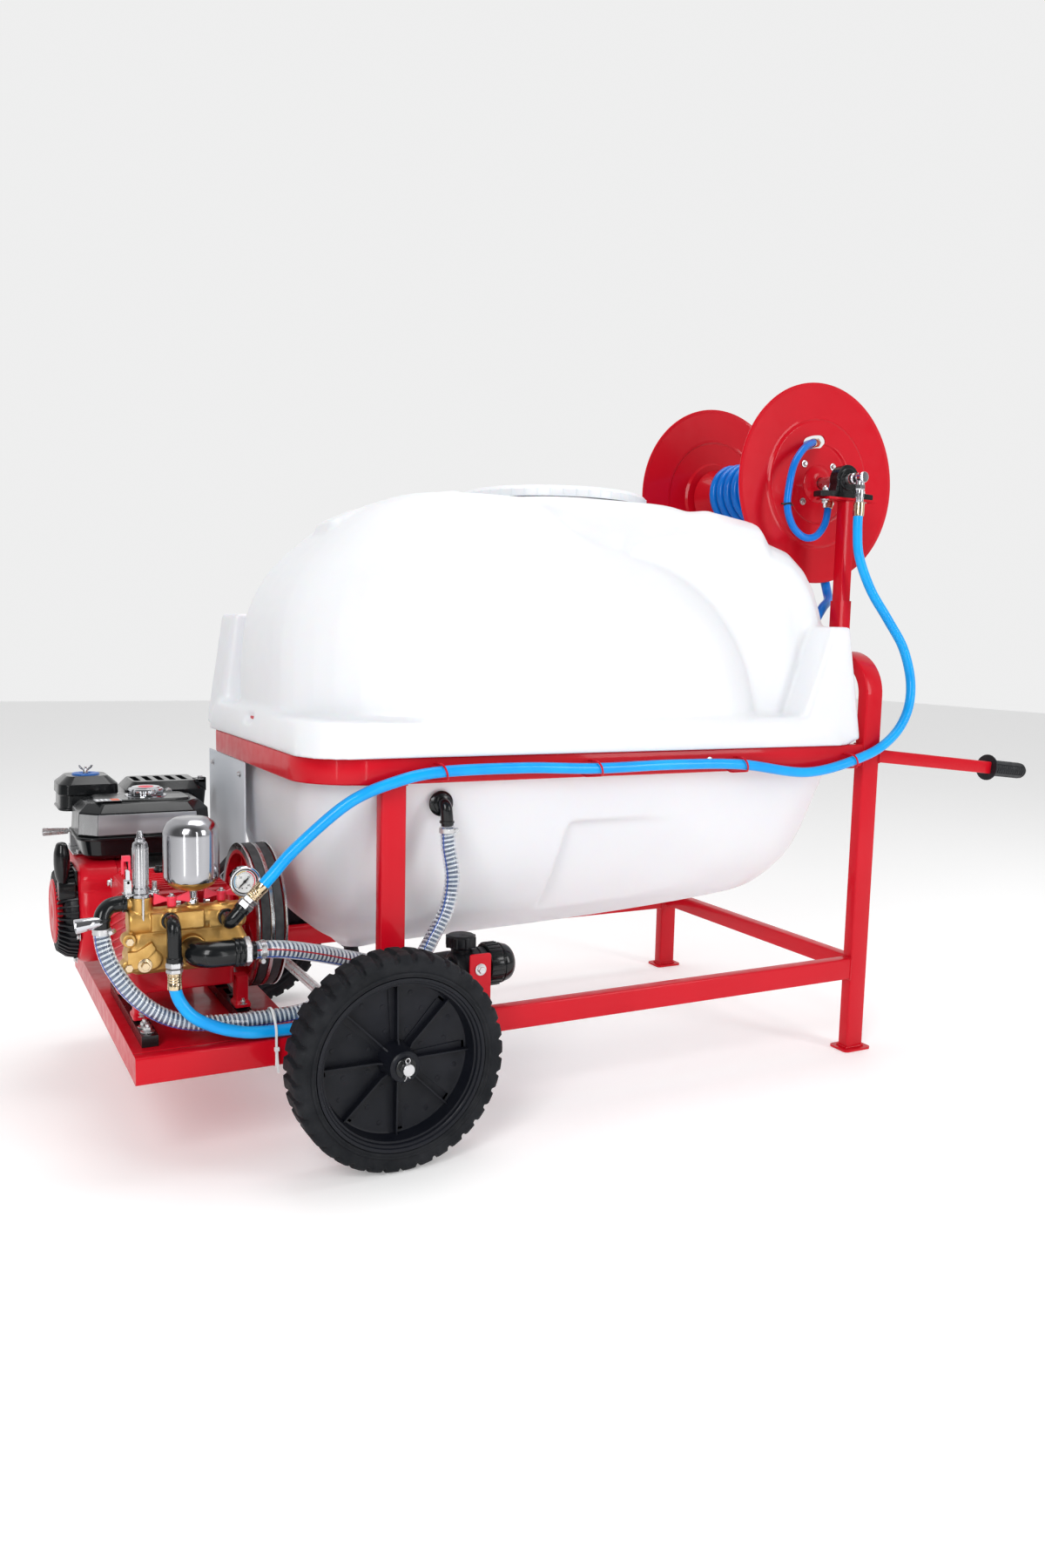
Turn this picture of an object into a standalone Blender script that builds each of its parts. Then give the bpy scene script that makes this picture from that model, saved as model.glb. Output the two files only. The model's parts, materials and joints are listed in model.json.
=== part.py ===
"""Wheeled sprayer cart: tank, plunger pump, petrol engine and hose reel on a two-wheeled tube chassis.

Metres, +Z up. The assembly is laid out from the axle: X runs from the engine end to the handles, and
Y = 0 is the middle plane. CHASSIS places it so that its base is centred on the origin.
"""

import math

import bmesh
import bpy
from mathutils import Euler, Matrix, Vector

# Driving dimensions
GAP = 0.0003
AXLE_X = -0.6175
WHEEL_R = 0.200
WHEEL_W = 0.090
WHEEL_Y = 0.527
AXLE_R = 0.011
AXLE_END = 0.592
TUBE_W = 0.050
TUBE_T = 0.030
OUTER_Y = 0.409
INNER_Y = OUTER_Y - TUBE_T
RAIL_Z = WHEEL_R
FRONT_X = -0.434
PORTAL_X = 1.200
PORTAL_TOP = 0.947
BEND_R = 0.100
RING_Z = 0.684
RING_X = -0.128
RING_R = 0.130
POST_X = 0.014
SKIRT_Z = RING_Z + TUBE_W + GAP
DECK_Z = RAIL_Z + TUBE_W / 2
REEL_X = 1.200
REEL_Z = 1.344
DISC_R = 0.235
DISC_Y = 0.200
REEL_POST_X = 1.210
REEL_POST_Y = 0.295
SHAFT_R = 0.0125
HOSE_R = 0.011
SUCTION_R = 0.0165
RETURN_R = 0.0145
CRANK_Y = 0.135
CRANK_Z = 0.373
PUMP_Y = -0.150
PUMP_Z = 0.400
PULLEY_X = -0.1585
PULLEY_W = 0.057
PUMP_PULLEY_R = 0.144
ENGINE_PULLEY_R = 0.050
FILTER_AT = (0.235, -0.330, 0.295)

for old in list(bpy.data.objects):
    bpy.data.objects.remove(old, do_unlink=True)

PARTS = bpy.data.collections.new("sprayer_cart")
HELPERS = bpy.data.collections.new("cutters")
for group in (PARTS, HELPERS):
    bpy.context.scene.collection.children.link(group)
HELPERS.hide_render = True

CHASSIS = bpy.data.objects.new("chassis_frame", None)
PARTS.objects.link(CHASSIS)
CHASSIS.location = (AXLE_X, 0, 0)


def finish(name, colour, roughness, metallic=0.0):
    material = bpy.data.materials.new(name)
    material.use_nodes = True
    shader = material.node_tree.nodes["Principled BSDF"]
    shader.inputs["Base Color"].default_value = (*colour, 1.0)
    shader.inputs["Roughness"].default_value = roughness
    shader.inputs["Metallic"].default_value = metallic
    return material


RED = finish("red_paint", (0.60, 0.008, 0.018), 0.25)
WHITE = finish("white_polyethylene", (0.88, 0.88, 0.87), 0.45)
BLACK = finish("black_plastic", (0.012, 0.013, 0.016), 0.4)
RUBBER = finish("tyre_rubber", (0.014, 0.015, 0.018), 0.8)
STEEL = finish("zinc_steel", (0.55, 0.55, 0.56), 0.3, 1.0)
CHROME = finish("chrome", (0.75, 0.76, 0.78), 0.1, 1.0)
BRASS = finish("cast_brass", (0.60, 0.38, 0.12), 0.4, 1.0)
GREY = finish("grey_sheet", (0.70, 0.74, 0.79), 0.5)
DIAL = finish("dial_white", (0.85, 0.85, 0.85), 0.4)
BLUE = finish("pressure_hose_blue", (0.01, 0.36, 0.80), 0.35)
DEEP_BLUE = finish("spray_hose_blue", (0.0, 0.09, 0.48), 0.35)
CLEAR = finish("clear_pvc_hose", (0.60, 0.66, 0.72), 0.3)


# Building tools

def add(name, data, material, group=PARTS):
    obj = bpy.data.objects.new(name, data)
    data.materials.append(material)
    group.objects.link(obj)
    obj.parent = CHASSIS
    if group is HELPERS:
        obj.hide_render = True
        obj.display_type = "WIRE"
    return obj


def mesh_of(bm, name):
    mesh = bpy.data.meshes.new(name)
    bmesh.ops.recalc_face_normals(bm, faces=bm.faces)
    bm.to_mesh(mesh)
    bm.free()
    return mesh


def bevel(obj, width, segments=1):
    modifier = obj.modifiers.new("edges", "BEVEL")
    modifier.width = width
    modifier.segments = segments
    modifier.limit_method = "ANGLE"
    modifier.angle_limit = math.radians(40)
    return obj


def box(name, low, high, material, edge=0.0, group=PARTS):
    """A block between two opposite corners."""
    low, high = Vector(low), Vector(high)
    bm = bmesh.new()
    bmesh.ops.create_cube(bm, size=1.0)
    bmesh.ops.scale(bm, vec=high - low, verts=bm.verts)
    obj = add(name, mesh_of(bm, name), material, group)
    obj.location = (low + high) / 2
    return bevel(obj, edge) if edge else obj


AXES = {
    "+X": Euler((0, math.pi / 2, 0)),
    "-X": Euler((0, -math.pi / 2, 0)),
    "+Y": Euler((-math.pi / 2, 0, 0)),
    "-Y": Euler((math.pi / 2, 0, 0)),
    "+Z": Euler((0, 0, 0)),
    "-Z": Euler((math.pi, 0, 0)),
}


def turned(name, profile, axis, at, material, steps=24, group=PARTS):
    """A turned piece. profile lists (radius, height along axis) down the outer side, then back inside."""
    mesh = bpy.data.meshes.new(name)
    count = len(profile)
    on_axis = profile[0][0] == 0 and profile[-1][0] == 0
    edges = [(i, i + 1) for i in range(count - 1)]
    if not on_axis:
        edges.append((count - 1, 0))
    mesh.from_pydata([(r, 0, h) for r, h in profile], edges, [])
    obj = add(name, mesh, material, group)
    obj.location = at
    obj.rotation_euler = AXES[axis]
    screw = obj.modifiers.new("turn", "SCREW")
    screw.steps = steps
    screw.render_steps = steps
    screw.use_merge_vertices = True
    screw.merge_threshold = 0.00005
    screw.use_smooth_shade = False
    return obj


def disc(name, radius, axis, at, length, material, steps=24, group=PARTS):
    """A plain cylinder that starts at one point and runs along axis."""
    profile = [(0, length), (radius, length), (radius, 0), (0, 0)]
    return turned(name, profile, axis, at, material, steps, group)


def tube(name, points, radius, material, rounding=2, group=PARTS):
    """A round bar or hose along points, with closed ends."""
    curve = bpy.data.curves.new(name, "CURVE")
    curve.dimensions = "3D"
    curve.bevel_depth = radius
    curve.bevel_resolution = rounding
    curve.use_fill_caps = True
    spline = curve.splines.new("POLY")
    spline.points.add(len(points) - 1)
    for target, point in zip(spline.points, points):
        target.co = (*point, 1.0)
    return add(name, curve, material, group)


def plate(name, outline, thickness, at, turn, material, group=PARTS):
    """A flat outline given thickness. turn is the Euler rotation from the outline's own XY plane."""
    curve = bpy.data.curves.new(name, "CURVE")
    curve.dimensions = "2D"
    curve.fill_mode = "BOTH"
    curve.extrude = thickness / 2
    spline = curve.splines.new("POLY")
    spline.use_cyclic_u = True
    spline.points.add(len(outline) - 1)
    for target, (x, y) in zip(spline.points, outline):
        target.co = (x, y, 0, 1.0)
    obj = add(name, curve, material, group)
    obj.location = at
    obj.rotation_euler = turn
    return obj


FACING_X = (math.pi / 2, 0, math.pi / 2)
FACING_Y = (math.pi / 2, 0, 0)
FACING_Z = (0, 0, 0)


def arc(cx, cy, radius, start, end, count):
    """Points on an arc, angles in degrees."""
    angles = [math.radians(start + (end - start) * i / count) for i in range(count + 1)]
    return [(cx + radius * math.cos(a), cy + radius * math.sin(a)) for a in angles]


def rounded_rectangle(x0, x1, y0, y1, radius, steps):
    corners = (
        arc(x1 - radius, y1 - radius, radius, 0, 90, steps)
        + arc(x0 + radius, y1 - radius, radius, 90, 180, steps)
        + arc(x0 + radius, y0 + radius, radius, 180, 270, steps)
        + arc(x1 - radius, y0 + radius, radius, 270, 360, steps)
    )
    return corners


def loft(name, sections, material, steps=3, inset=0.0, group=PARTS):
    """A body through level rounded rectangles, each (z, x0, x1, y0, y1, corner radius)."""
    bm = bmesh.new()
    rings = []
    for z, x0, x1, y0, y1, radius in sections:
        outline = rounded_rectangle(
            x0 + inset, x1 - inset, y0 + inset, y1 - inset, max(radius - inset, 0.004), steps
        )
        rings.append([bm.verts.new((x, y, z)) for x, y in outline])
    for lower, upper in zip(rings, rings[1:]):
        for i in range(len(lower)):
            j = (i + 1) % len(lower)
            bm.faces.new((lower[i], lower[j], upper[j], upper[i]))
    bm.faces.new(list(reversed(rings[0])))
    bm.faces.new(rings[-1])
    return add(name, mesh_of(bm, name), material, group)


def to_mesh(obj):
    """Replaces a curve, or an object with modifiers, by its evaluated mesh with welded caps."""
    bpy.context.view_layer.update()
    graph = bpy.context.evaluated_depsgraph_get()
    mesh = bpy.data.meshes.new_from_object(obj.evaluated_get(graph))
    bm = bmesh.new()
    bm.from_mesh(mesh)
    bmesh.ops.remove_doubles(bm, verts=bm.verts, dist=0.00002)
    bmesh.ops.recalc_face_normals(bm, faces=bm.faces)
    bm.to_mesh(mesh)
    bm.free()
    name, group = obj.name, obj.users_collection[0]
    location, rotation = obj.location.copy(), obj.rotation_euler.copy()
    material = obj.data.materials[0]
    bpy.data.objects.remove(obj, do_unlink=True)
    mesh.materials.clear()
    fresh = add(name, mesh, material, group)
    fresh.name = name
    fresh.location = location
    fresh.rotation_euler = rotation
    return fresh


def combine(body, others, operation):
    for other in others:
        modifier = body.modifiers.new(other.name, "BOOLEAN")
        modifier.operation = operation
        modifier.solver = "EXACT"
        modifier.object = other
    return body


def join(body, *others):
    return combine(body, others, "UNION")


def cut(body, *others):
    return combine(body, others, "DIFFERENCE")


def helper_box(name, low, high, edge=0.0):
    return box(name, low, high, STEEL, edge, HELPERS)


def helper_disc(name, radius, axis, at, length, steps=24):
    return disc(name, radius, axis, at, length, STEEL, steps, HELPERS)


def helper_tube(name, points, radius, rounding=2):
    return to_mesh(tube(name, points, radius, STEEL, rounding, HELPERS))


def smooth_route(points, spacing):
    """Evenly spaced points on a smooth curve through the route's own points."""
    knots = [Vector(p) for p in points]
    dense = []
    for i in range(len(knots) - 1):
        before = knots[max(i - 1, 0)]
        a, b = knots[i], knots[i + 1]
        after = knots[min(i + 2, len(knots) - 1)]
        for k in range(24):
            t = k / 24
            dense.append(
                0.5 * (2 * a + (b - before) * t
                       + (2 * before - 5 * a + 4 * b - after) * t ** 2
                       + (3 * a - before - 3 * b + after) * t ** 3)
            )
    dense.append(knots[-1])
    total = sum((q - p).length for p, q in zip(dense, dense[1:]))
    count = max(2, round(total / spacing))
    step = total / count
    route, travelled, target = [dense[0]], 0.0, step
    for p, q in zip(dense, dense[1:]):
        length = (q - p).length
        while travelled + length >= target and len(route) < count:
            route.append(p.lerp(q, (target - travelled) / length))
            target += step
        travelled += length
    route.append(dense[-1])
    return route


# Chassis

def make_rail(name, side):
    """A lower side rail, drilled for the axle."""
    y0, y1 = sorted((side * OUTER_Y, side * INNER_Y))
    rail = box(name, (FRONT_X, y0, DECK_Z - TUBE_W), (PORTAL_X - GAP, y1, DECK_Z), RED)
    hole = helper_disc(name + "_hole", AXLE_R + 2 * GAP, "+Y", (0, y0 - 0.01, RAIL_Z), 0.05, 16)
    if side < 0:
        x, _, z = FILTER_AT
        tab = helper_box("filter_tab", (x - 0.020, -0.3805, RAIL_Z), (x + 0.027, -0.3765, z + 0.037))
        spacer = helper_disc("filter_spacer", 0.010, "+Y", (x, -0.3770, z + 0.005), 0.0103, 12)
        join(rail, tab, spacer)
    return cut(rail, hole)


def make_engine_platform():
    """Folded deck plate with a lip at each end, and the two slotted rails that the pump stands on."""
    sheet, end_x = 0.004, -0.130
    low, high = DECK_Z - TUBE_W, DECK_Z
    outline = [
        (FRONT_X, low), (FRONT_X + sheet, low), (FRONT_X + sheet, high - sheet),
        (end_x - sheet, high - sheet), (end_x - sheet, low), (end_x, low),
        (end_x, high), (FRONT_X, high),
    ]
    width = 2 * (INNER_Y - GAP)
    deck = to_mesh(plate("engine_platform", outline, width, (0, 0, 0), FACING_Y, RED))
    runners = [
        helper_box("runner_%d" % i, (x, -0.36, DECK_Z - 0.001), (x + 0.030, 0.0, DECK_Z + 0.020))
        for i, x in enumerate((-0.415, -0.228))
    ]
    return join(deck, *runners)


def make_rear_portal():
    """Bent rear arch with its foot plates and the two tow-handle bars welded on."""
    inner_r = BEND_R - TUBE_T
    base = 0.004
    outline = (
        [(-OUTER_Y, base)]
        + arc(-OUTER_Y + BEND_R, PORTAL_TOP - BEND_R, BEND_R, 180, 90, 6)
        + arc(OUTER_Y - BEND_R, PORTAL_TOP - BEND_R, BEND_R, 90, 0, 6)
        + [(OUTER_Y, base), (INNER_Y, base)]
        + arc(INNER_Y - inner_r, PORTAL_TOP - BEND_R, inner_r, 0, 90, 6)
        + arc(-INNER_Y + inner_r, PORTAL_TOP - BEND_R, inner_r, 90, 180, 6)
        + [(-INNER_Y, base)]
    )
    centre = PORTAL_X + TUBE_W / 2
    arch = to_mesh(plate("rear_portal", outline, TUBE_W, (centre, 0, 0), FACING_X, RED))
    welded = []
    for label, side in (("near", -1), ("far", 1)):
        y = side * (OUTER_Y - TUBE_T / 2)
        foot = rounded_rectangle(centre - 0.040, centre + 0.040, y - 0.030, y + 0.030, 0.010, 2)
        welded.append(
            to_mesh(plate("foot_" + label, foot, 0.005, (0, 0, 0.0025), FACING_Z, RED, HELPERS))
        )
        start, end = Vector((1.245, y, 0.7065)), Vector((GRIP_X - GAP, y, 0.6665))
        bar = helper_box("bar_" + label, (-0.015, -0.015, 0), (0.015, 0.015, (end - start).length))
        bar.matrix_basis = (
            Matrix.Translation((start + end) / 2)
            @ (end - start).to_track_quat("Z", "Y").to_matrix().to_4x4()
        )
        welded.append(bar)
    return join(arch, *welded)


GRIP_X = 1.626
GRIP_END_X = 1.757


def make_grip(name, side):
    """Ribbed hand grip with a round guard, in line with its handle bar."""
    y = side * (OUTER_Y - TUBE_T / 2)
    start = Vector((GRIP_X, y, 0.6665))
    along = Vector((GRIP_X - 1.245, 0, 0.6665 - 0.7065)).normalized()
    length = (GRIP_END_X - GRIP_X) / along.x - 0.0005
    profile = [
        (0, length), (0.014, length), (0.020, length - 0.008), (0.020, 0.010),
        (0.0325, 0.006), (0.0325, 0), (0, 0),
    ]
    grip = turned(name, profile, "+Z", start, BLACK, 20)
    grip.rotation_euler = along.to_track_quat("Z", "Y").to_euler()
    return grip


def make_tank_support():
    """The ring that carries the tank, open towards the rear portal, with its two front posts."""
    inner_r = RING_R - TUBE_T
    end = PORTAL_X - GAP
    outline = (
        [(end, OUTER_Y)]
        + arc(RING_X + RING_R, OUTER_Y - RING_R, RING_R, 90, 180, 6)
        + arc(RING_X + RING_R, -OUTER_Y + RING_R, RING_R, 180, 270, 6)
        + [(end, -OUTER_Y), (end, -INNER_Y)]
        + arc(RING_X + RING_R, -OUTER_Y + RING_R, inner_r, 270, 180, 6)
        + arc(RING_X + RING_R, OUTER_Y - RING_R, inner_r, 180, 90, 6)
        + [(end, INNER_Y)]
    )
    ring = to_mesh(
        plate("tank_support", outline, TUBE_W, (0, 0, RING_Z + TUBE_W / 2), FACING_Z, RED)
    )
    posts = []
    for label, side in (("near", -1), ("far", 1)):
        y0, y1 = sorted((side * OUTER_Y, side * INNER_Y))
        posts.append(
            helper_box(
                "post_" + label, (POST_X, y0, DECK_Z + GAP), (POST_X + TUBE_W, y1, RING_Z + 0.01)
            )
        )
    return join(ring, *posts)


def make_rear_cross_rail():
    reach = INNER_Y - GAP
    return box("rear_cross_rail", (PORTAL_X + 0.01, -reach, 0.185), (PORTAL_X + 0.04, reach, DECK_Z), RED)


def make_axle():
    return disc("axle", AXLE_R, "+Y", (0, -AXLE_END, RAIL_Z), 2 * AXLE_END, STEEL, 16)


def make_heat_shield():
    return box("heat_shield", (-0.1250, 0.050, 0.330), (-0.1215, 0.375, RING_Z - GAP), GREY)


# Wheels

def make_wheel(label, side):
    half = WHEEL_W / 2
    at = (0, side * WHEEL_Y, RAIL_Z)
    inner = 0.152
    tyre = [
        (inner + GAP, half - 0.004), (0.180, half), (0.196, half - 0.012), (WHEEL_R, half - 0.022),
        (WHEEL_R, -half + 0.022), (0.196, -half + 0.012), (0.180, -half), (inner + GAP, -half + 0.004),
    ]
    turned("tyre_" + label, tyre, "+Y", at, RUBBER, 32)
    web = -side * 0.010
    hub = [
        (AXLE_R + GAP, 0.048), (0.029, 0.048), (0.029, web + 0.004), (0.140, web + 0.004),
        (0.140, 0.041), (inner, 0.041), (inner, -0.041), (0.140, -0.041), (0.140, web - 0.004),
        (0.029, web - 0.004), (0.029, -0.048), (AXLE_R + GAP, -0.048),
    ]
    turned("wheel_hub_" + label, hub, "+Y", at, BLACK, 32)


# Tank

TANK_LOWER = [
    (0.276, 0.070, 0.130, 0.040, 0.030),
    (0.300, 0.045, 0.300, 0.100, 0.080),
    (0.330, 0.000, 0.700, 0.170, 0.120),
    (0.365, -0.035, 1.030, 0.225, 0.150),
    (0.400, -0.055, 1.110, 0.265, 0.150),
    (0.480, -0.082, 1.165, 0.310, 0.150),
    (0.600, -0.096, 1.185, 0.350, 0.140),
    (0.680, -0.0970, 1.190, 0.3755, 0.130),
    (0.760, -0.0970, 1.190, 0.3755, 0.130),
]
TANK_SKIRT = [
    (SKIRT_Z, -0.133, 1.1985, 0.425, 0.100),
    (0.770, -0.130, 1.194, 0.422, 0.105),
    (0.800, -0.122, 1.180, 0.410, 0.115),
]
TANK_DOME = [
    (0.745, -0.110, 0.960, 0.405, 0.130),
    (0.900, -0.108, 0.930, 0.402, 0.150),
    (1.000, -0.096, 0.885, 0.388, 0.160),
    (1.080, -0.058, 0.830, 0.362, 0.180),
    (1.140, -0.005, 0.770, 0.325, 0.190),
    (1.190, 0.055, 0.710, 0.275, 0.190),
    (1.230, 0.120, 0.690, 0.225, 0.190),
    (1.260, 0.200, 0.660, 0.170, 0.165),
]
TANK_END = [
    (0.745, 0.500, 1.125, 0.345, 0.090),
    (1.000, 0.500, 1.120, 0.335, 0.110),
    (1.080, 0.500, 1.105, 0.330, 0.120),
    (1.150, 0.450, 1.045, 0.320, 0.130),
    (1.190, 0.420, 0.955, 0.310, 0.140),
    (1.235, 0.400, 0.900, 0.280, 0.150),
    (1.260, 0.380, 0.840, 0.240, 0.160),
]
TANK_WALL = 0.008
LID_X = 0.585
LID_R = 0.218
MOUTH_R = 0.155
LID_Z = 1.260


def both_sides(sections):
    return [(z, x0, x1, -half, half, radius) for z, x0, x1, half, radius in sections]


def lift(sections, way=1):
    """Sections moved up or down by the wall's thickness."""
    return [(z + way * TANK_WALL, *rest) for z, *rest in sections]


def make_tank():
    """Rotomoulded tank: sump, skirt over the ring, dome, stepped reel end and corner pillars."""
    tank = loft("tank", both_sides(TANK_LOWER), WHITE, 3)
    shapes = [
        loft("tank_skirt", both_sides(TANK_SKIRT), WHITE, 3, 0, HELPERS),
        loft("tank_dome", both_sides(TANK_DOME), WHITE, 3, 0, HELPERS),
        loft("tank_end", both_sides(TANK_END), WHITE, 3, 0, HELPERS),
        loft("tank_hump", [
            (1.150, 0.020, 0.380, -0.150, 0.150, 0.020),
            (1.195, 0.052, 0.372, -0.140, 0.140, 0.020),
            (1.245, 0.170, 0.366, -0.130, 0.130, 0.020),
            (1.283, 0.300, 0.350, -0.120, 0.120, 0.020),
        ], WHITE, 1, 0, HELPERS),
    ]
    pillars = [
        ("near_right", 0.980, 1.190, 1.070, 1.165, -0.420, -0.290),
        ("far_right", 0.980, 1.190, 1.070, 1.165, 0.290, 0.420),
        ("far_left", -0.125, 0.060, -0.088, 0.020, 0.290, 0.420),
    ]
    for label, low0, low1, top0, top1, y0, y1 in pillars:
        shapes.append(loft("pillar_" + label, [
            (0.745, low0, low1, y0, y1, 0.025),
            (1.002, top0, top1, y0 * 0.97 if y0 < 0 else y0, y1 * 0.97 if y1 > 0 else y1, 0.020),
        ], WHITE, 2, 0, HELPERS))
    join(tank, *shapes)
    shell = to_mesh(tank)
    hollows = [
        loft("hollow_lower", both_sides(lift(TANK_LOWER[1::2] + TANK_LOWER[-1:])), WHITE, 2, 0.012, HELPERS),
        loft("hollow_dome", both_sides(lift(TANK_DOME[::2], -1)), WHITE, 2, 0.012, HELPERS),
        loft("hollow_end", both_sides(lift(TANK_END[::2], -1)), WHITE, 2, 0.012, HELPERS),
        helper_disc("tank_mouth", MOUTH_R, "+Z", (LID_X, 0, 1.15), 0.15, 24),
    ]
    return cut(shell, *hollows)


def make_tank_lid():
    profile = [
        (0, 0.026), (LID_R - 0.020, 0.026), (LID_R - 0.006, 0.020), (LID_R, 0.008), (LID_R, 0), (0, 0),
    ]
    return turned("tank_lid", profile, "+Z", (LID_X, 0, LID_Z + 0.0045), WHITE, 28)


def make_strainer_basket():
    """Leaf basket that hangs in the tank's mouth by its flange."""
    inner, wall, depth = 0.140, 0.003, 0.120
    profile = [
        (0.170, 0.0037), (0.170, GAP), (inner + wall, GAP), (inner + wall - 0.01, -depth), (0, -depth),
        (0, -depth + wall), (inner - 0.01, -depth + wall), (inner, 0.0037),
    ]
    return turned("strainer_basket", profile, "+Z", (LID_X, 0, LID_Z), BLACK, 20)


def make_tank_outlet():
    """Outlet pipe from the sump to the back of the suction filter."""
    route = smooth_route([
        (0.100, 0, 0.2715), (0.100, 0, 0.262), (0.108, -0.010, 0.240), (0.140, -0.050, 0.231), (0.185, -0.110, 0.245),
        (0.225, -0.190, 0.272), (0.235, -0.250, 0.290), (0.235, -0.2935, 0.294),
    ], 0.028)
    return tube("tank_outlet", route, 0.016, BLACK)


def make_return_inlet():
    """Bulkhead flange high on the near wall, with an elbow that points down."""
    x, wall_y, z = 0.148, -0.3760, 0.640
    flange = disc("return_inlet", 0.025, "-Y", (x, wall_y, z), 0.008, BLACK, 20)
    elbow = helper_tube("inlet_elbow", [
        (x, wall_y - 0.004, z), (x, wall_y - 0.016, z), (x + 0.001, wall_y - 0.022, z - 0.006),
        (x + 0.002, wall_y - 0.024, z - 0.016), (x + 0.004, wall_y - 0.024, z - 0.040),
    ], 0.012)
    return join(flange, elbow)


# Suction filter


def make_filter():
    """Filter head with its top cap and ports, and the bowl that screws on along +X."""
    x, y, z = FILTER_AT
    head = disc("filter_body", 0.036, "+X", (x - 0.040, y, z), 0.074, BLACK, 20)
    join(
        head,
        helper_disc("filter_top", 0.024, "+Z", (x + 0.008, y, z), 0.063, 16),
        helper_disc("filter_side_port", 0.018, "-X", (x - 0.030, y, z), 0.030, 16),
    )
    bowl = [
        (0, 0.064), (0.026, 0.064), (0.038, 0.052), (0.040, 0.030), (0.045, 0.030), (0.045, 0), (0, 0),
    ]
    turned("filter_bowl", bowl, "+X", (x + 0.034 + GAP, y, z), BLACK, 24)


# Hose reel

def make_reel_disc(label, side):
    """Pressed disc with a stepped face and a curled rim."""
    step = 0.005
    profile = [
        (SHAFT_R + GAP, 0.004), (0.080, 0.004), (0.084, 0.004 + step), (0.148, 0.004 + step),
        (0.152, 0.004), (DISC_R, 0.004), (DISC_R, 0.0), (0.148, 0.0), (0.144, step), (0.084, step),
        (0.080, 0.0), (SHAFT_R + GAP, 0.0),
    ]
    axis = "+Y" if side > 0 else "-Y"
    reel_disc = turned("reel_disc_" + label, profile, axis, (REEL_X, side * DISC_Y, REEL_Z), RED, 28)
    if side < 0:
        slot = helper_box(
            "feed_slot", (REEL_X - 0.055, -DISC_Y - 0.02, REEL_Z + 0.078),
            (REEL_X + 0.035, -DISC_Y + 0.02, REEL_Z + 0.112), 0.012,
        )
        cut(reel_disc, slot)
    return reel_disc


def make_reel_drum():
    """Drum with cone ends on a through shaft."""
    end, core = DISC_Y - GAP, 0.038
    profile = [
        (0, 0.352), (SHAFT_R, 0.352), (SHAFT_R, end), (0.076, end), (core, 0.145),
        (core, -0.145), (0.076, -end), (SHAFT_R, -end), (SHAFT_R, -0.322), (0, -0.322),
    ]
    return turned("reel_drum", profile, "+Y", (REEL_X, 0, REEL_Z), RED, 20)


def make_wound_hose():
    profile = [(0.083, 0.142), (0.083, -0.142), (0.0385, -0.142), (0.0385, 0.142)]
    return turned("hose_on_reel", profile, "+Y", (REEL_X, 0, REEL_Z), DEEP_BLUE, 20)


def make_reel_crank():
    """Crank arm and knob on the far end of the shaft."""
    y = 0.352 + GAP
    arm = box("reel_crank", (REEL_X - 0.016, y, REEL_Z - 0.150), (REEL_X + 0.016, y + 0.008, REEL_Z + 0.020), RED)
    knob = helper_disc("crank_knob", 0.014, "+Y", (REEL_X, y + 0.006, REEL_Z - 0.132), 0.092, 16)
    return join(arm, knob)


def make_reel_post(label, side):
    """Square socket, the tube that slides in it, and the bearing plate on top."""
    top, seat = 1.296, 1.065
    levels = [
        (PORTAL_TOP + GAP, 0.0175, 0.0175), (seat, 0.0175, 0.0175), (seat, 0.0150, 0.0150),
        (top, 0.0150, 0.0150), (top, 0.072, 0.022), (top + 0.005, 0.072, 0.022),
    ]
    bm = bmesh.new()
    rings = []
    for z, half_x, half_y in levels:
        corners = ((half_x, half_y), (-half_x, half_y), (-half_x, -half_y), (half_x, -half_y))
        rings.append([bm.verts.new((x, y, z)) for x, y in corners])
    for lower, upper in zip(rings, rings[1:]):
        for i in range(4):
            bm.faces.new((lower[i], lower[(i + 1) % 4], upper[(i + 1) % 4], upper[i]))
    bm.faces.new(list(reversed(rings[0])))
    bm.faces.new(rings[-1])
    post = add("reel_post_" + label, mesh_of(bm, "reel_post"), RED)
    post.location = (REEL_POST_X, side * REEL_POST_Y, 0)
    return post


def make_bearing(label, side):
    """Pillow block: a flat base with a round housing, bored for the shaft."""
    low = 1.301 + GAP
    dx = REEL_X
    outline = (
        [(dx - 0.062, low), (dx + 0.062, low), (dx + 0.062, low + 0.013), (dx + 0.036, low + 0.015)]
        + arc(dx, REEL_Z, 0.034, -20, 200, 8)
        + [(dx - 0.036, low + 0.015), (dx - 0.062, low + 0.013)]
    )
    block = to_mesh(
        plate("bearing_" + label, outline, 0.034, (0, side * REEL_POST_Y, 0), FACING_Y, BLACK)
    )
    bore = helper_disc(
        "bearing_bore_" + label, SHAFT_R + 2 * GAP, "+Y", (REEL_X, side * REEL_POST_Y - 0.03, REEL_Z), 0.06, 24
    )
    return cut(block, bore)


def make_reel_swivel():
    """Swivel union on the near end of the shaft, its elbow pointing down to the pressure hose."""
    y = -0.322 - GAP
    body = disc("reel_swivel", 0.013, "-Y", (REEL_X, y, REEL_Z), 0.040, CHROME, 16)
    drop = helper_disc("swivel_drop", 0.010, "-Z", (REEL_X + 0.001, y - 0.024, REEL_Z), 0.062, 16)
    return join(body, drop)


# Engine

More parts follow.
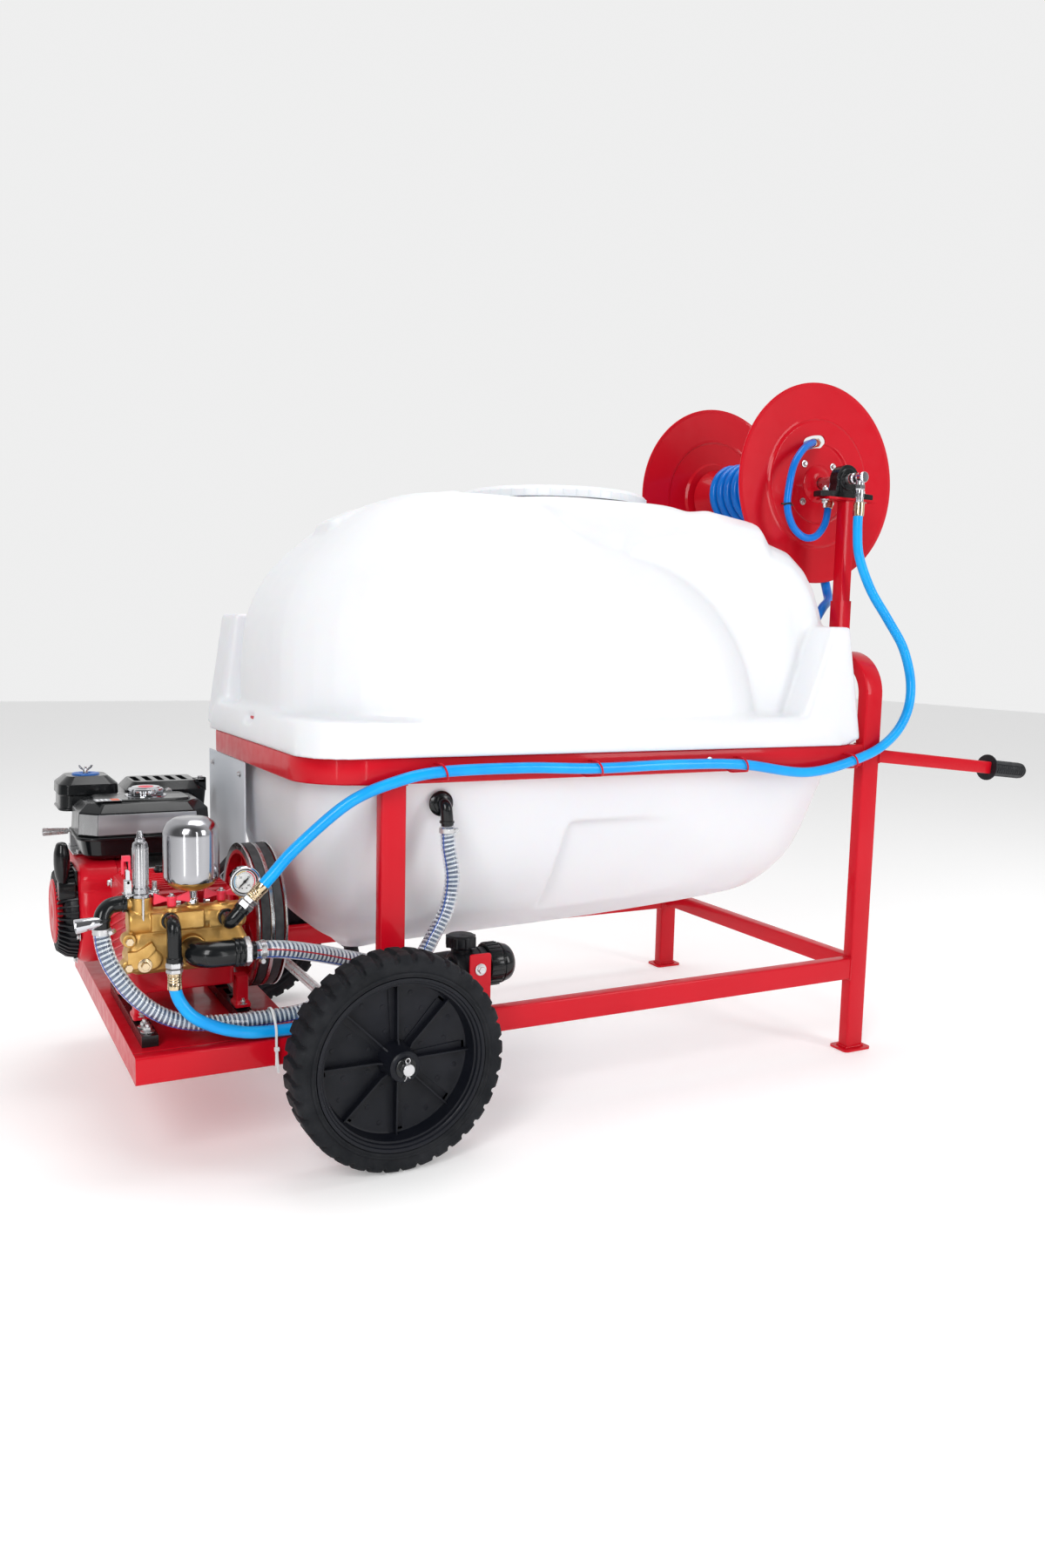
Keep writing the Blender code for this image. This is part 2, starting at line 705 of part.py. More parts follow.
def make_engine_block():
    """Crankcase on its base, and the inclined finned cylinder towards the far side."""
    block = box("engine_block", (-0.3697, 0.035, 0.262), (-0.235, 0.255, 0.470), STEEL, 0.012)
    base = helper_box("engine_base", (-0.3697, 0.045, DECK_Z + GAP), (-0.240, 0.245, 0.270))
    cylinder = helper_box("cylinder", (-0.060, -0.080, -0.055), (0.060, 0.080, 0.055))
    cylinder.location = (-0.300, 0.290, 0.440)
    cylinder.rotation_euler = (math.radians(25), 0, 0)
    return join(block, base, cylinder)


def make_engine_shroud():
    """Blower housing around the flywheel, rising over the cylinder."""
    outline = (
        arc(CRANK_Y, CRANK_Z, 0.112, 150, 345, 12)
        + [(CRANK_Y + 0.150, 0.400), (CRANK_Y + 0.190, 0.470), (CRANK_Y + 0.130, 0.484), (CRANK_Y - 0.080, 0.484)]
    )
    shroud = plate("engine_shroud", outline, 0.095, (-0.4177, 0, 0), FACING_X, RED)
    return shroud


def make_recoil_cover():
    profile = [
        (0, 0.042), (0.066, 0.042), (0.068, 0.030), (0.084, 0.028), (0.098, 0.016), (0.101, 0), (0, 0),
    ]
    return turned("recoil_cover", profile, "-X", (-0.4655, CRANK_Y, CRANK_Z), BLACK, 24)


def make_recoil_grip():
    """Pull grip parked in its guide at the top of the cover."""
    profile = [
        (0, 0.092), (0.009, 0.088), (0.015, 0.070), (0.016, 0.046), (0.013, 0.020), (0.007, 0.004), (0, 0),
    ]
    return turned("recoil_grip", profile, "+Z", (-0.4945, 0.060, 0.4390), BLACK, 12)


def make_fuel_tank():
    x0, x1, y0, y1 = -0.460, -0.190, 0.050, 0.238
    def level(z, grow, radius):
        return (z, x0 - grow, x1 + grow, y0 - grow, y1 + grow, radius)
    return loft("fuel_tank", [
        level(0.4850, -0.022, 0.030), level(0.4980, -0.008, 0.035), level(0.5300, -0.006, 0.035),
        level(0.5300, 0.004, 0.040), level(0.5360, 0.004, 0.040), level(0.5360, 0.0, 0.036),
        level(0.5850, -0.004, 0.036), level(0.6080, -0.030, 0.030),
    ], BLACK, 2)


def make_fuel_cap():
    profile = [(0, 0.018), (0.030, 0.018), (0.036, 0.013), (0.037, 0), (0, 0)]
    return turned("fuel_cap", profile, "+Z", (-0.312, 0.150, 0.6083), CHROME, 20)


def make_air_cleaner():
    return loft("air_cleaner", [
        (0.4845, -0.440, -0.375, 0.262, 0.345, 0.010), (0.560, -0.440, -0.372, 0.258, 0.355, 0.012),
        (0.565, -0.476, -0.350, 0.250, 0.375, 0.022), (0.625, -0.476, -0.350, 0.250, 0.375, 0.022),
        (0.640, -0.466, -0.360, 0.260, 0.365, 0.018),
    ], BLACK, 2)


def make_muffler():
    return loft("muffler", [
        (0.5245, -0.330, -0.165, 0.262, 0.392, 0.015), (0.605, -0.335, -0.158, 0.252, 0.400, 0.020),
        (0.622, -0.322, -0.172, 0.265, 0.388, 0.015),
    ], BLACK, 2)


def make_speed_lever():
    lever = box("speed_lever", (-0.512, 0.243, 0.5205), (-0.452, 0.257, 0.5235), STEEL)
    pad = helper_box("lever_pad", (-0.512, 0.240, 0.513), (-0.498, 0.257, 0.531))
    return join(lever, pad)


# Belt drive and pump

def pulley_profile(radius, bore_end):
    half = PULLEY_W / 2
    floor = radius - 0.012
    return [
        (0, half), (0.022, half), (0.022, 0.006), (floor - 0.009, 0.006), (floor - 0.009, half),
        (radius, half), (radius, half - 0.004), (floor, half - 0.004), (floor, -half + 0.004),
        (radius, -half + 0.004), (radius, -half), (floor - 0.009, -half), (floor - 0.009, -0.006),
        (0.022, -0.006), (0.022, -half), (0.0115, -half), (0.0115, bore_end), (0, bore_end),
    ]


def make_pulleys():
    turned(
        "pump_pulley", pulley_profile(PUMP_PULLEY_R, -0.2247 - PULLEY_X), "+X",
        (PULLEY_X, PUMP_Y, PUMP_Z), RED, 28,
    )
    half, floor = PULLEY_W / 2, ENGINE_PULLEY_R - 0.012
    profile = [
        (0, half), (ENGINE_PULLEY_R, half), (ENGINE_PULLEY_R, half - 0.004), (floor, half - 0.004),
        (floor, -half + 0.004), (ENGINE_PULLEY_R, -half + 0.004), (ENGINE_PULLEY_R, -half),
        (0.0115, -half), (0.0115, -0.2347 - PULLEY_X), (0, -0.2347 - PULLEY_X),
    ]
    turned("engine_pulley", profile, "+X", (PULLEY_X, CRANK_Y, CRANK_Z), RED, 20)


def make_drive_belts():
    """The belt pair as one band over both pulleys."""
    pump, engine = Vector((PUMP_Y, PUMP_Z)), Vector((CRANK_Y, CRANK_Z))
    line = math.degrees(math.atan2(engine.y - pump.y, engine.x - pump.x))
    spread = engine - pump

    def loop(thickness, count):
        big = PUMP_PULLEY_R - 0.012 + GAP + thickness
        small = ENGINE_PULLEY_R - 0.012 + GAP + thickness
        lean = math.degrees(math.acos((big - small) / spread.length))
        return (
            arc(pump.x, pump.y, big, line + lean, line + 360 - lean, count)
            + arc(engine.x, engine.y, small, line - lean, line + lean, count // 2)
        )

    band = to_mesh(plate("drive_belts", loop(0.010, 24), PULLEY_W - 0.0095, (PULLEY_X, 0, 0), FACING_X, RUBBER))
    hollow = to_mesh(
        plate("belt_hollow", loop(0.0012, 24), PULLEY_W, (PULLEY_X, 0, 0), FACING_X, RUBBER, HELPERS)
    )
    return cut(band, hollow)


def make_pump_crankcase():
    """Ribbed crankcase on four legs."""
    case = box("pump_crankcase", (-0.425, -0.285, 0.300), (-0.225, -0.055, 0.492), RED, 0.015)
    legs = [
        helper_box("pump_leg_%d%d" % (i, j), (x, y, DECK_Z + 0.020 + GAP), (x + 0.030, y + 0.045, 0.320))
        for i, x in enumerate((-0.415, -0.2555 + 0.0275))
        for j, y in enumerate((-0.280, -0.105))
    ]
    return join(case, *legs)


def make_pump_manifold():
    """Brass head: discharge gallery above, suction gallery below, with the three hose elbows."""
    back = -0.285 - GAP
    head = box("pump_manifold", (-0.437, -0.348, 0.352), (-0.212, back, 0.428), BRASS, 0.010)
    gallery = helper_box("discharge_gallery", (-0.430, -0.352, 0.420), (-0.222, back - 0.010, 0.470))
    tower = helper_disc("regulator_seat", 0.020, "+Z", (-0.405, -0.320, 0.440), 0.050, 16)
    port = helper_disc("regulator_port", 0.0098, "-X", (-0.400, -0.320, 0.480), 0.031, 12)
    centre = helper_disc("centre_port", 0.0135, "-Y", (-0.361, -0.330, 0.449), 0.066, 14)
    drop = helper_disc("centre_drop", 0.0122, "-Z", (-0.361, -0.384, 0.457), 0.104, 14)
    right = helper_disc("right_port", 0.0135, "-Y", (-0.261, -0.330, 0.447), 0.066, 14)
    rise = helper_disc("right_rise", 0.0122, "+Z", (-0.263, -0.385, 0.445), 0.084, 14)
    rise.rotation_euler = Vector((0.057, -0.0053, 0.062)).to_track_quat("Z", "Y").to_euler()
    suction = helper_tube("suction_elbow", [
        (-0.322, -0.335, 0.393), (-0.322, -0.376, 0.393), (-0.300, -0.400, 0.393), (-0.226, -0.400, 0.393),
    ], 0.0235)
    return join(head, gallery, tower, port, centre, drop, right, rise, suction)


def make_air_chamber():
    """Pressed steel surge chamber over its brass bowl and neck."""
    profile = [
        (0, 0.158), (0.030, 0.157), (0.044, 0.150), (0.0495, 0.138), (0.0495, 0.046), (0.044, 0.036),
        (0.020, 0.0265), (0.011, 0.0265), (0.011, GAP), (0, GAP),
    ]
    return turned("air_chamber", profile, "+Z", (-0.316, -0.318, 0.470), STEEL, 20)


def make_pressure_regulator():
    """Spring housing with its adjusting spindle."""
    base = 0.490 + GAP
    profile = [
        (0, 0.118), (0.004, 0.118), (0.006, 0.108), (0.0125, 0.098), (0.0135, 0.018), (0.019, 0.014),
        (0.019, 0), (0, 0),
    ]
    return turned("pressure_regulator", profile, "+Z", (-0.405, -0.320, base), CHROME, 16)


def make_regulator_lever():
    """Bypass lever beside the spring housing, on a cross pin at its foot."""
    blade = box("regulator_lever", (-0.4310, -0.3245, 0.5140), (-0.4235, -0.3155, 0.5640), STEEL, 0.0015)
    pin = helper_disc("lever_pin", 0.003, "-Y", (-0.4272, -0.3125, 0.5180), 0.015, 12)
    return join(blade, pin)


def make_outlet_valve(label, x, y):
    """Cock spindle with a butterfly handle."""
    at = (x, y, 0.470 + GAP)
    spindle = disc("outlet_valve_" + label, 0.007, "+Z", at, 0.026, RED, 12)
    wings = [
        (-0.028, -0.008), (-0.012, -0.005), (0.012, -0.005), (0.028, -0.008), (0.028, 0.010),
        (0.012, 0.005), (-0.012, 0.005), (-0.028, 0.010),
    ]
    blade = to_mesh(
        plate("wings_" + label, wings, 0.008, (x, at[1], at[2] + 0.014), FACING_Y, RED, HELPERS)
    )
    return join(spindle, blade)


GAUGE_AT = (-0.2265, -0.352, 0.509)


def make_gauge():
    """Gauge case with a recessed dial, on its stem, and the pointer."""
    x, y, z = GAUGE_AT
    profile = [
        (0, 0.020), (0.023, 0.020), (0.024, 0.026), (0.0265, 0.026), (0.0265, 0), (0, 0),
    ]
    case = turned("pressure_gauge", profile, "-Y", (x, y + 0.026, z), STEEL, 24)
    stem = helper_disc("gauge_stem", 0.006, "-Z", (x, y + 0.012, z - 0.020), 0.0187, 10)
    join(case, stem)
    needle = box("gauge_needle", (x - 0.0012, y + 0.0022, z - 0.006), (x + 0.0012, y + 0.0052, z + 0.017), BLACK)
    needle.location = (x, y + 0.0037, z)
    needle.rotation_euler = (0, math.radians(-135), 0)
    for vertex in needle.data.vertices:
        vertex.co.z += 0.0055
    return case


def make_return_elbow():
    """Elbow on the regulator's side port, with the hose tail and the clamp's lever."""
    elbow = to_mesh(tube("return_elbow", [
        (-0.4324, -0.320, 0.480), (-0.4500, -0.321, 0.481), (-0.4660, -0.327, 0.474), (-0.4740, -0.334, 0.460),
        (-0.4740, -0.334, 0.4446),
    ], 0.0125, BLACK))
    clamp = helper_box("clamp_lever", (-0.523, -0.340, 0.446), (-0.472, -0.326, 0.468))
    return join(elbow, clamp)


# Hoses

def make_hoses():
    supply = smooth_route([
        (-0.2055, -0.3903, 0.5076), (-0.190, -0.392, 0.525), (-0.145, -0.400, 0.576), (-0.055, -0.420, 0.655),
        (0.029, -0.430, 0.691), (0.122, -0.432, 0.708), (0.302, -0.430, 0.710), (0.465, -0.430, 0.704),
        (0.652, -0.430, 0.706), (0.830, -0.430, 0.701), (1.019, -0.430, 0.678), (1.180, -0.430, 0.709),
        (1.268, -0.424, 0.749), (1.325, -0.412, 0.806), (1.346, -0.398, 0.876), (1.328, -0.386, 0.956),
        (1.285, -0.373, 1.024), (1.240, -0.360, 1.090), (1.208, -0.350, 1.165), (1.201, -0.3465, 1.225),
        (1.201, -0.3463, 1.2817),
    ], 0.044)
    tube("supply_hose", supply, HOSE_R, BLUE, 1)
    back = smooth_route([
        (-0.4740, -0.3340, 0.4412), (-0.474, -0.335, 0.426), (-0.470, -0.340, 0.402), (-0.458, -0.348, 0.370),
        (-0.428, -0.358, 0.324), (-0.382, -0.364, 0.284), (-0.327, -0.368, 0.263), (-0.252, -0.372, 0.257),
        (-0.146, -0.374, 0.258), (-0.105, -0.380, 0.268), (-0.060, -0.398, 0.280), (-0.015, -0.422, 0.292),
        (0.035, -0.434, 0.312), (0.084, -0.434, 0.354), (0.116, -0.428, 0.398), (0.145, -0.420, 0.446),
        (0.158, -0.412, 0.503), (0.1535, -0.402, 0.560), (0.1520, -0.4000, 0.5970),
    ], 0.046)
    tube("return_hose", back, RETURN_R, CLEAR, 1)
    suction = smooth_route([
        (-0.2225, -0.400, 0.393), (-0.200, -0.400, 0.393), (-0.160, -0.392, 0.386), (-0.098, -0.374, 0.368),
        (-0.034, -0.356, 0.346), (0.030, -0.345, 0.325), (0.095, -0.335, 0.305), (0.145, -0.330, 0.295),
        (0.1730, -0.330, 0.295),
    ], 0.050)
    tube("suction_hose", suction, SUCTION_R, CLEAR, 1)
    stir = smooth_route([
        (-0.361, -0.384, 0.3507), (-0.361, -0.384, 0.337), (-0.352, -0.387, 0.309), (-0.329, -0.393, 0.280),
        (-0.287, -0.398, 0.257), (-0.241, -0.402, 0.244), (-0.198, -0.403, 0.240), (-0.140, -0.400, 0.238),
        (-0.095, -0.388, 0.2372), (-0.045, -0.368, 0.2372), (0.010, -0.348, 0.240), (0.090, -0.312, 0.232),
        (0.150, -0.220, 0.208), (0.185, -0.110, 0.196), (0.200, -0.030, 0.202), (0.2045, 0.030, 0.232),
        (0.205, 0.050, 0.262), (0.205, 0.052, 0.2850),
    ], 0.036)
    tube("agitation_hose", stir, HOSE_R, BLUE, 1)
    feed = smooth_route([
        (1.188, -0.2046, 1.4390), (1.160, -0.222, 1.4340), (1.120, -0.240, 1.414), (1.085, -0.252, 1.376),
        (1.066, -0.260, 1.325), (1.062, -0.262, 1.275), (1.078, -0.266, 1.232), (1.110, -0.270, 1.209),
        (1.145, -0.270, 1.214), (1.172, -0.268, 1.244), (1.183, -0.264, 1.285), (1.1905, -0.2600, 1.3240),
    ], 0.026)
    tube("feed_loop_hose", feed, 0.0085, DEEP_BLUE, 1)
    tail = smooth_route([
        (1.215, -0.125, 1.2490), (1.240, -0.150, 1.200), (1.254, -0.175, 1.140), (1.250, -0.200, 1.093),
        (1.230, -0.228, 1.068), (1.190, -0.255, 1.048), (1.155, -0.269, 1.010), (1.142, -0.272, 0.960),
        (1.142, -0.272, 0.8800),
    ], 0.034)
    tube("hose_tail", tail, HOSE_R, DEEP_BLUE, 1)
    disc("hose_fitting", 0.013, "-Z", (1.142, -0.272, 0.879), 0.060, BRASS, 12)


def build():
    make_rail("rail_near", -1)
    make_rail("rail_far", 1)
    make_engine_platform()
    make_rear_cross_rail()
    make_rear_portal()
    make_tank_support()
    make_axle()
    make_heat_shield()
    for label, side in (("near", -1), ("far", 1)):
        make_grip("grip_" + label, side)
        make_wheel(label, side)
        make_reel_disc(label, side)
        make_reel_post(label, side)
        make_bearing(label, side)
    make_tank()
    make_tank_lid()
    make_strainer_basket()
    make_tank_outlet()
    make_return_inlet()
    make_filter()
    make_reel_drum()
    make_wound_hose()
    make_reel_crank()
    make_reel_swivel()
    make_engine_block()
    make_engine_shroud()
    make_recoil_cover()
    make_recoil_grip()
    make_fuel_tank()
    make_fuel_cap()
    make_air_cleaner()
    make_muffler()
    make_speed_lever()
    make_pulleys()
    make_drive_belts()
    make_pump_crankcase()
    make_pump_manifold()
    make_air_chamber()
    make_pressure_regulator()
    make_regulator_lever()
    make_outlet_valve("left", -0.354, -0.330)
    make_outlet_valve("right", -0.262, -0.315)
    make_gauge()
    make_return_elbow()
    make_hoses()


build()
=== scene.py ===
"""Wheeled sprayer cart: the detailed model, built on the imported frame.

Positions are given from the axle, as in the part: X towards the handles, Y = 0 in the middle plane,
Z up from the ground. AXLE_X moves them into the row frame.
"""

import json
import math

import bmesh
import bpy
import numpy as np
from mathutils import Matrix, Vector


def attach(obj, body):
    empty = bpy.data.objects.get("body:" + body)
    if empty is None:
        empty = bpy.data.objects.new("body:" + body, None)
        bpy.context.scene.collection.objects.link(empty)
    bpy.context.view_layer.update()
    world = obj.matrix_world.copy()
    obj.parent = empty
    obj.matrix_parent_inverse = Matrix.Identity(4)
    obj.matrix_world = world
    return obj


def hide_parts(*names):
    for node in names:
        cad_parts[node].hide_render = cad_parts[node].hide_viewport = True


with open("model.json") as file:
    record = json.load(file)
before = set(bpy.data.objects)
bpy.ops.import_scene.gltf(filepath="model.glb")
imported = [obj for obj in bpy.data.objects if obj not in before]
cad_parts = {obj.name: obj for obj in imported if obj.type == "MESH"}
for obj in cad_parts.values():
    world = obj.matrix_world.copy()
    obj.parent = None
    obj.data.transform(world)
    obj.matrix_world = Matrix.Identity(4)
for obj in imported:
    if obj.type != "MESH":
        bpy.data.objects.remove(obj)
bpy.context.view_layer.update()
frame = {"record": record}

AXLE_X = -0.6175
AXLE_Z = 0.2
WHEEL_Y = 0.527
RAIL_Y = 0.394
RING_Z = 0.709
HOSE_R = 0.011
LOOP_R = 0.0085
SUCTION_R = 0.0165
RETURN_R = 0.0145
REEL = Vector((1.200, 0, 1.344))
DISC_Y = 0.200
PULLEY_X = -0.1585
PUMP_AXIS = (-0.150, 0.400)
CRANK_AXIS = (0.135, 0.373)


# Camera

def make_camera():
    data = bpy.data.cameras.new("camera")
    data.lens = 26.95
    data.sensor_width = 36
    camera = bpy.data.objects.new("camera", data)
    bpy.context.scene.collection.objects.link(camera)
    camera.matrix_world = (
        Matrix.Translation((-0.7609 + AXLE_X, -2.4393, 0.9612))
        @ Matrix.Rotation(math.radians(-27.777), 4, "Z")
        @ Matrix.Rotation(math.radians(82.905), 4, "X")
        @ Matrix.Rotation(math.radians(1.311), 4, "Z")
    )
    bpy.context.scene.camera = camera


# Materials

def material(name, colour, rough, metallic=0.0, coat=0.0, coat_rough=0.1, **sockets):
    """A Principled material. Returns it with its node tree, for texture layers to be added."""
    made = bpy.data.materials.new(name)
    made.use_nodes = True
    shader = made.node_tree.nodes["Principled BSDF"]
    shader.inputs["Base Color"].default_value = (*colour, 1)
    shader.inputs["Roughness"].default_value = rough
    shader.inputs["Metallic"].default_value = metallic
    shader.inputs["Coat Weight"].default_value = coat
    shader.inputs["Coat Roughness"].default_value = coat_rough
    for socket, value in sockets.items():
        shader.inputs[socket.replace("_", " ")].default_value = value
    return made


def node(made, kind, **inputs):
    new = made.node_tree.nodes.new("ShaderNode" + kind)
    for key, value in inputs.items():
        new.inputs[key.replace("_", " ")].default_value = value
    return new


def link(made, source, target):
    made.node_tree.links.new(source, target)


def noise(made, scale, detail=3.0, stretch=(1, 1, 1)):
    """Object-space noise, stretched along an axis by a factor below one."""
    place = node(made, "TexCoord")
    mapping = node(made, "Mapping", Scale=stretch)
    texture = node(made, "TexNoise", Scale=scale, Detail=detail)
    link(made, place.outputs["Object"], mapping.inputs["Vector"])
    link(made, mapping.outputs["Vector"], texture.inputs["Vector"])
    return texture.outputs["Fac"]


def spread(made, source, low, high, start=0.3, end=0.7):
    """Maps a texture onto a range of values."""
    ranged = node(made, "MapRange", From_Min=start, From_Max=end, To_Min=low, To_Max=high)
    link(made, source, ranged.inputs["Value"])
    return ranged.outputs["Result"]


def tint(made, source, first, second, start=0.3, end=0.7):
    """Varies the base colour between two tones."""
    ramp = node(made, "ValToRGB")
    ramp.color_ramp.elements[0].position = start
    ramp.color_ramp.elements[1].position = end
    ramp.color_ramp.elements[0].color = (*first, 1)
    ramp.color_ramp.elements[1].color = (*second, 1)
    link(made, source, ramp.inputs["Fac"])
    link(made, ramp.outputs["Color"], made.node_tree.nodes["Principled BSDF"].inputs["Base Color"])


def rough_from(made, source, low, high):
    shader = made.node_tree.nodes["Principled BSDF"]
    link(made, spread(made, source, low, high), shader.inputs["Roughness"])


def bump(made, source, strength, distance=0.001, before=None):
    relief = node(made, "Bump", Strength=strength, Distance=distance)
    link(made, source, relief.inputs["Height"])
    if before is not None:
        link(made, before, relief.inputs["Normal"])
    link(made, relief.outputs["Normal"], made.node_tree.nodes["Principled BSDF"].inputs["Normal"])
    return relief.outputs["Normal"]


def finish(name, colour, rough, tones=None, shine=None, relief=None, **settings):
    """A material with layers of noise, each (noise, low, high): its tones, roughness and bump."""
    made = material(name, colour, rough, **settings)
    if tones:
        tint(made, noise(made, *tones[0]), *tones[1:])
    if shine:
        rough_from(made, noise(made, *shine[0]), *shine[1:])
    if relief:
        bump(made, noise(made, *relief[0]), *relief[1:])
    return made


def make_white():
    """Rotomoulded polyethylene: a fine grain over slow waves."""
    white = finish("white_polyethylene", (0.80, 0.81, 0.83), 0.36,
                   ((2.2,), (0.77, 0.78, 0.81), (0.83, 0.84, 0.86)),
                   ((25,), 0.30, 0.42), Subsurface_Weight=0.12, Subsurface_Scale=0.02)
    grain = bump(white, noise(white, 420, 3), 0.10, 0.0006)
    bump(white, noise(white, 7, 1), 0.10, 0.010, grain)
    return white


def make_hose_blue(name, colour, darker):
    return finish(name, colour, 0.30, ((12,), darker, colour), None, ((240, 2), 0.06, 0.0004),
                  coat=0.26, coat_rough=0.08, Specular_IOR_Level=0.15,
                  Subsurface_Weight=0.05, Subsurface_Scale=0.003)


def make_materials():
    kinds = {
        "paint": finish("red_powder_coat", (0.58, 0.003, 0.014), 0.34,
                        ((3.0,), (0.53, 0.002, 0.011), (0.62, 0.004, 0.016)),
                        ((40,), 0.28, 0.42), ((260, 2), 0.12, 0.0006), coat=0.24, coat_rough=0.06,
                        Specular_IOR_Level=0.12),
        "cast_paint": finish("red_cast_paint", (0.64, 0.004, 0.018), 0.38,
                             ((8.0,), (0.52, 0.004, 0.014), (0.66, 0.006, 0.020)),
                             None, ((340, 4), 0.25, 0.0008), coat=0.24, coat_rough=0.12,
                             Specular_IOR_Level=0.15),
        "white": make_white(),
        "black": finish("black_plastic", (0.007, 0.008, 0.010), 0.36,
                        ((14,), (0.006, 0.007, 0.009), (0.013, 0.014, 0.017)),
                        ((60,), 0.30, 0.46), ((700, 2), 0.18, 0.0004), Specular_IOR_Level=0.26),
        "gloss": finish("black_gloss_plastic", (0.006, 0.007, 0.008), 0.18, None, ((30,), 0.16, 0.28),
                        ((420, 2), 0.06, 0.0004), coat=0.28, coat_rough=0.06, Specular_IOR_Level=0.22),
        "hub": finish("wheel_plastic", (0.008, 0.009, 0.012), 0.38,
                      ((9,), (0.003, 0.004, 0.007), (0.008, 0.009, 0.014)),
                      ((34,), 0.36, 0.56), ((520, 3), 0.20, 0.0005), Specular_IOR_Level=0.24),
        "tyre": finish("tyre_rubber", (0.009, 0.010, 0.012), 0.60,
                       ((18,), (0.004, 0.005, 0.007), (0.011, 0.012, 0.015)),
                       ((45,), 0.60, 0.85), ((600, 4), 0.30, 0.0006), Specular_IOR_Level=0.24),
        "belt": finish("belt_rubber", (0.030, 0.031, 0.034), 0.62,
                       ((60,), (0.022, 0.023, 0.026), (0.050, 0.052, 0.056)),
                       None, ((900, 2), 0.25, 0.0004)),
        "steel": finish("zinc_steel", (0.62, 0.62, 0.63), 0.30, None, ((120,), 0.22, 0.42),
                        ((500, 2), 0.06, 0.0003), metallic=1.0),
        "satin": finish("drawn_steel", (0.66, 0.66, 0.67), 0.22, None, ((90, 2, (1, 1, 0.03)), 0.14, 0.30),
                        ((260, 2, (1, 1, 0.02)), 0.05, 0.0003), metallic=1.0, Anisotropic=0.5),
        "drawn": finish("polished_can", (0.40, 0.40, 0.42), 0.16, None, ((70, 2, (1, 1, 0.04)), 0.10, 0.24),
                        ((240, 2, (1, 1, 0.03)), 0.05, 0.0003), metallic=1.0),
        # The panel's base tone runs from dark to silver in broad patches: painted reflection, on top of the
        # metal's own reflections.
        "panel": finish("brushed_panel_painted_reflection", (0.42, 0.43, 0.45), 0.36,
                        ((12, 2, (0.3, 1, 2.2)), (0.22, 0.23, 0.25), (0.62, 0.63, 0.65)),
                        ((200, 2, (0.02, 1, 1)), 0.28, 0.44), metallic=0.9),
        "chrome": finish("chrome_plate", (0.62, 0.63, 0.66), 0.08, None, ((50,), 0.05, 0.14), metallic=1.0),
        "alloy": finish("cast_alloy", (0.50, 0.50, 0.51), 0.45,
                        ((30,), (0.42, 0.42, 0.43), (0.58, 0.58, 0.59)),
                        None, ((380, 4), 0.30, 0.0007), metallic=1.0),
        "brass": finish("cast_brass", (0.58, 0.34, 0.10), 0.38,
                        ((26, 5), (0.50, 0.28, 0.075), (0.70, 0.44, 0.15)),
                        ((70,), 0.30, 0.52), ((420, 5), 0.40, 0.0009), metallic=0.9),
        "ferrule": finish("turned_brass", (0.66, 0.52, 0.34), 0.18, None, ((150, 2), 0.12, 0.26),
                          metallic=1.0),
        "sheet": finish("grey_sheet", (0.66, 0.70, 0.76), 0.50,
                        ((5,), (0.62, 0.66, 0.72), (0.70, 0.74, 0.79)),
                        None, ((300, 2), 0.08, 0.0004)),
        "blue_hose": make_hose_blue("blue_hose", (0.006, 0.40, 0.90), (0.004, 0.31, 0.80)),
        "deep_blue_hose": make_hose_blue("deep_blue_hose", (0.002, 0.19, 0.68), (0.001, 0.14, 0.56)),
        "clear": finish("clear_pvc", (0.90, 0.94, 0.98), 0.10, None, None, ((160, 2), 0.08, 0.0005), coat=1.0,
                        coat_rough=0.06,
                        Transmission_Weight=1.0, IOR=1.12),
        # hose_painted_shade_core is painted shade: its dark blue-grey stands for the shadowed inside of the
        # hollow clear hose.
        "core": finish("hose_painted_shade_core", (0.15, 0.19, 0.27), 0.35,
                       ((40,), (0.11, 0.14, 0.21), (0.20, 0.25, 0.34))),
        "coil": finish("hose_spiral", (0.86, 0.88, 0.90), 0.35, None, None, ((300, 2), 0.08, 0.0003)),
    }
    plain = {
        "red_line": (0.55, 0.01, 0.02), "blue_line": (0.02, 0.10, 0.45), "tie_white": (0.82, 0.83, 0.84),
        "valve_red": (0.80, 0.030, 0.070), "label_grey": (0.35, 0.36, 0.38),
        "label_orange": (0.75, 0.10, 0.01),
        "dial_white": (0.85, 0.85, 0.84), "ink": (0.02, 0.02, 0.02), "cap_blue": (0.01, 0.12, 0.45),
        "scale_blue": (0.18, 0.42, 0.62), "scale_yellow": (0.75, 0.55, 0.16),
    }
    for name, colour in plain.items():
        kinds[name] = finish(name, colour, 0.35, None, ((80,), 0.28, 0.44), ((500, 2), 0.05, 0.0003))
    return kinds


# Shapes. Each returns (points, faces), in metres from the axle.

AXES = {
    "+X": Matrix.Rotation(math.pi / 2, 4, "Y"),
    "-X": Matrix.Rotation(-math.pi / 2, 4, "Y"),
    "+Y": Matrix.Rotation(-math.pi / 2, 4, "X"),
    "-Y": Matrix.Rotation(math.pi / 2, 4, "X"),
    "+Z": Matrix.Identity(4),
    "-Z": Matrix.Rotation(math.pi, 4, "X"),
}


def moved(shape, matrix):
    points, faces = shape
    matrix = np.array(matrix)
    return np.asarray(points) @ matrix[:3, :3].T + matrix[:3, 3], faces


def facing(axis, at):
    """Places something made along +Z at a point, along one of AXES or a direction."""
    turn = AXES[axis] if isinstance(axis, str) else Vector(axis).to_track_quat("Z", "Y").to_matrix().to_4x4()
    return Matrix.Translation(at) @ turn


def around(shape, count, place=Matrix.Identity(4), start=0.0):
    """Copies of a shape turned evenly about the Z axis, from start degrees, and then placed."""
    turns = [2 * math.pi * k / count + math.radians(start) for k in range(count)]
    return [moved(shape, place @ Matrix.Rotation(turn, 4, "Z")) for turn in turns]


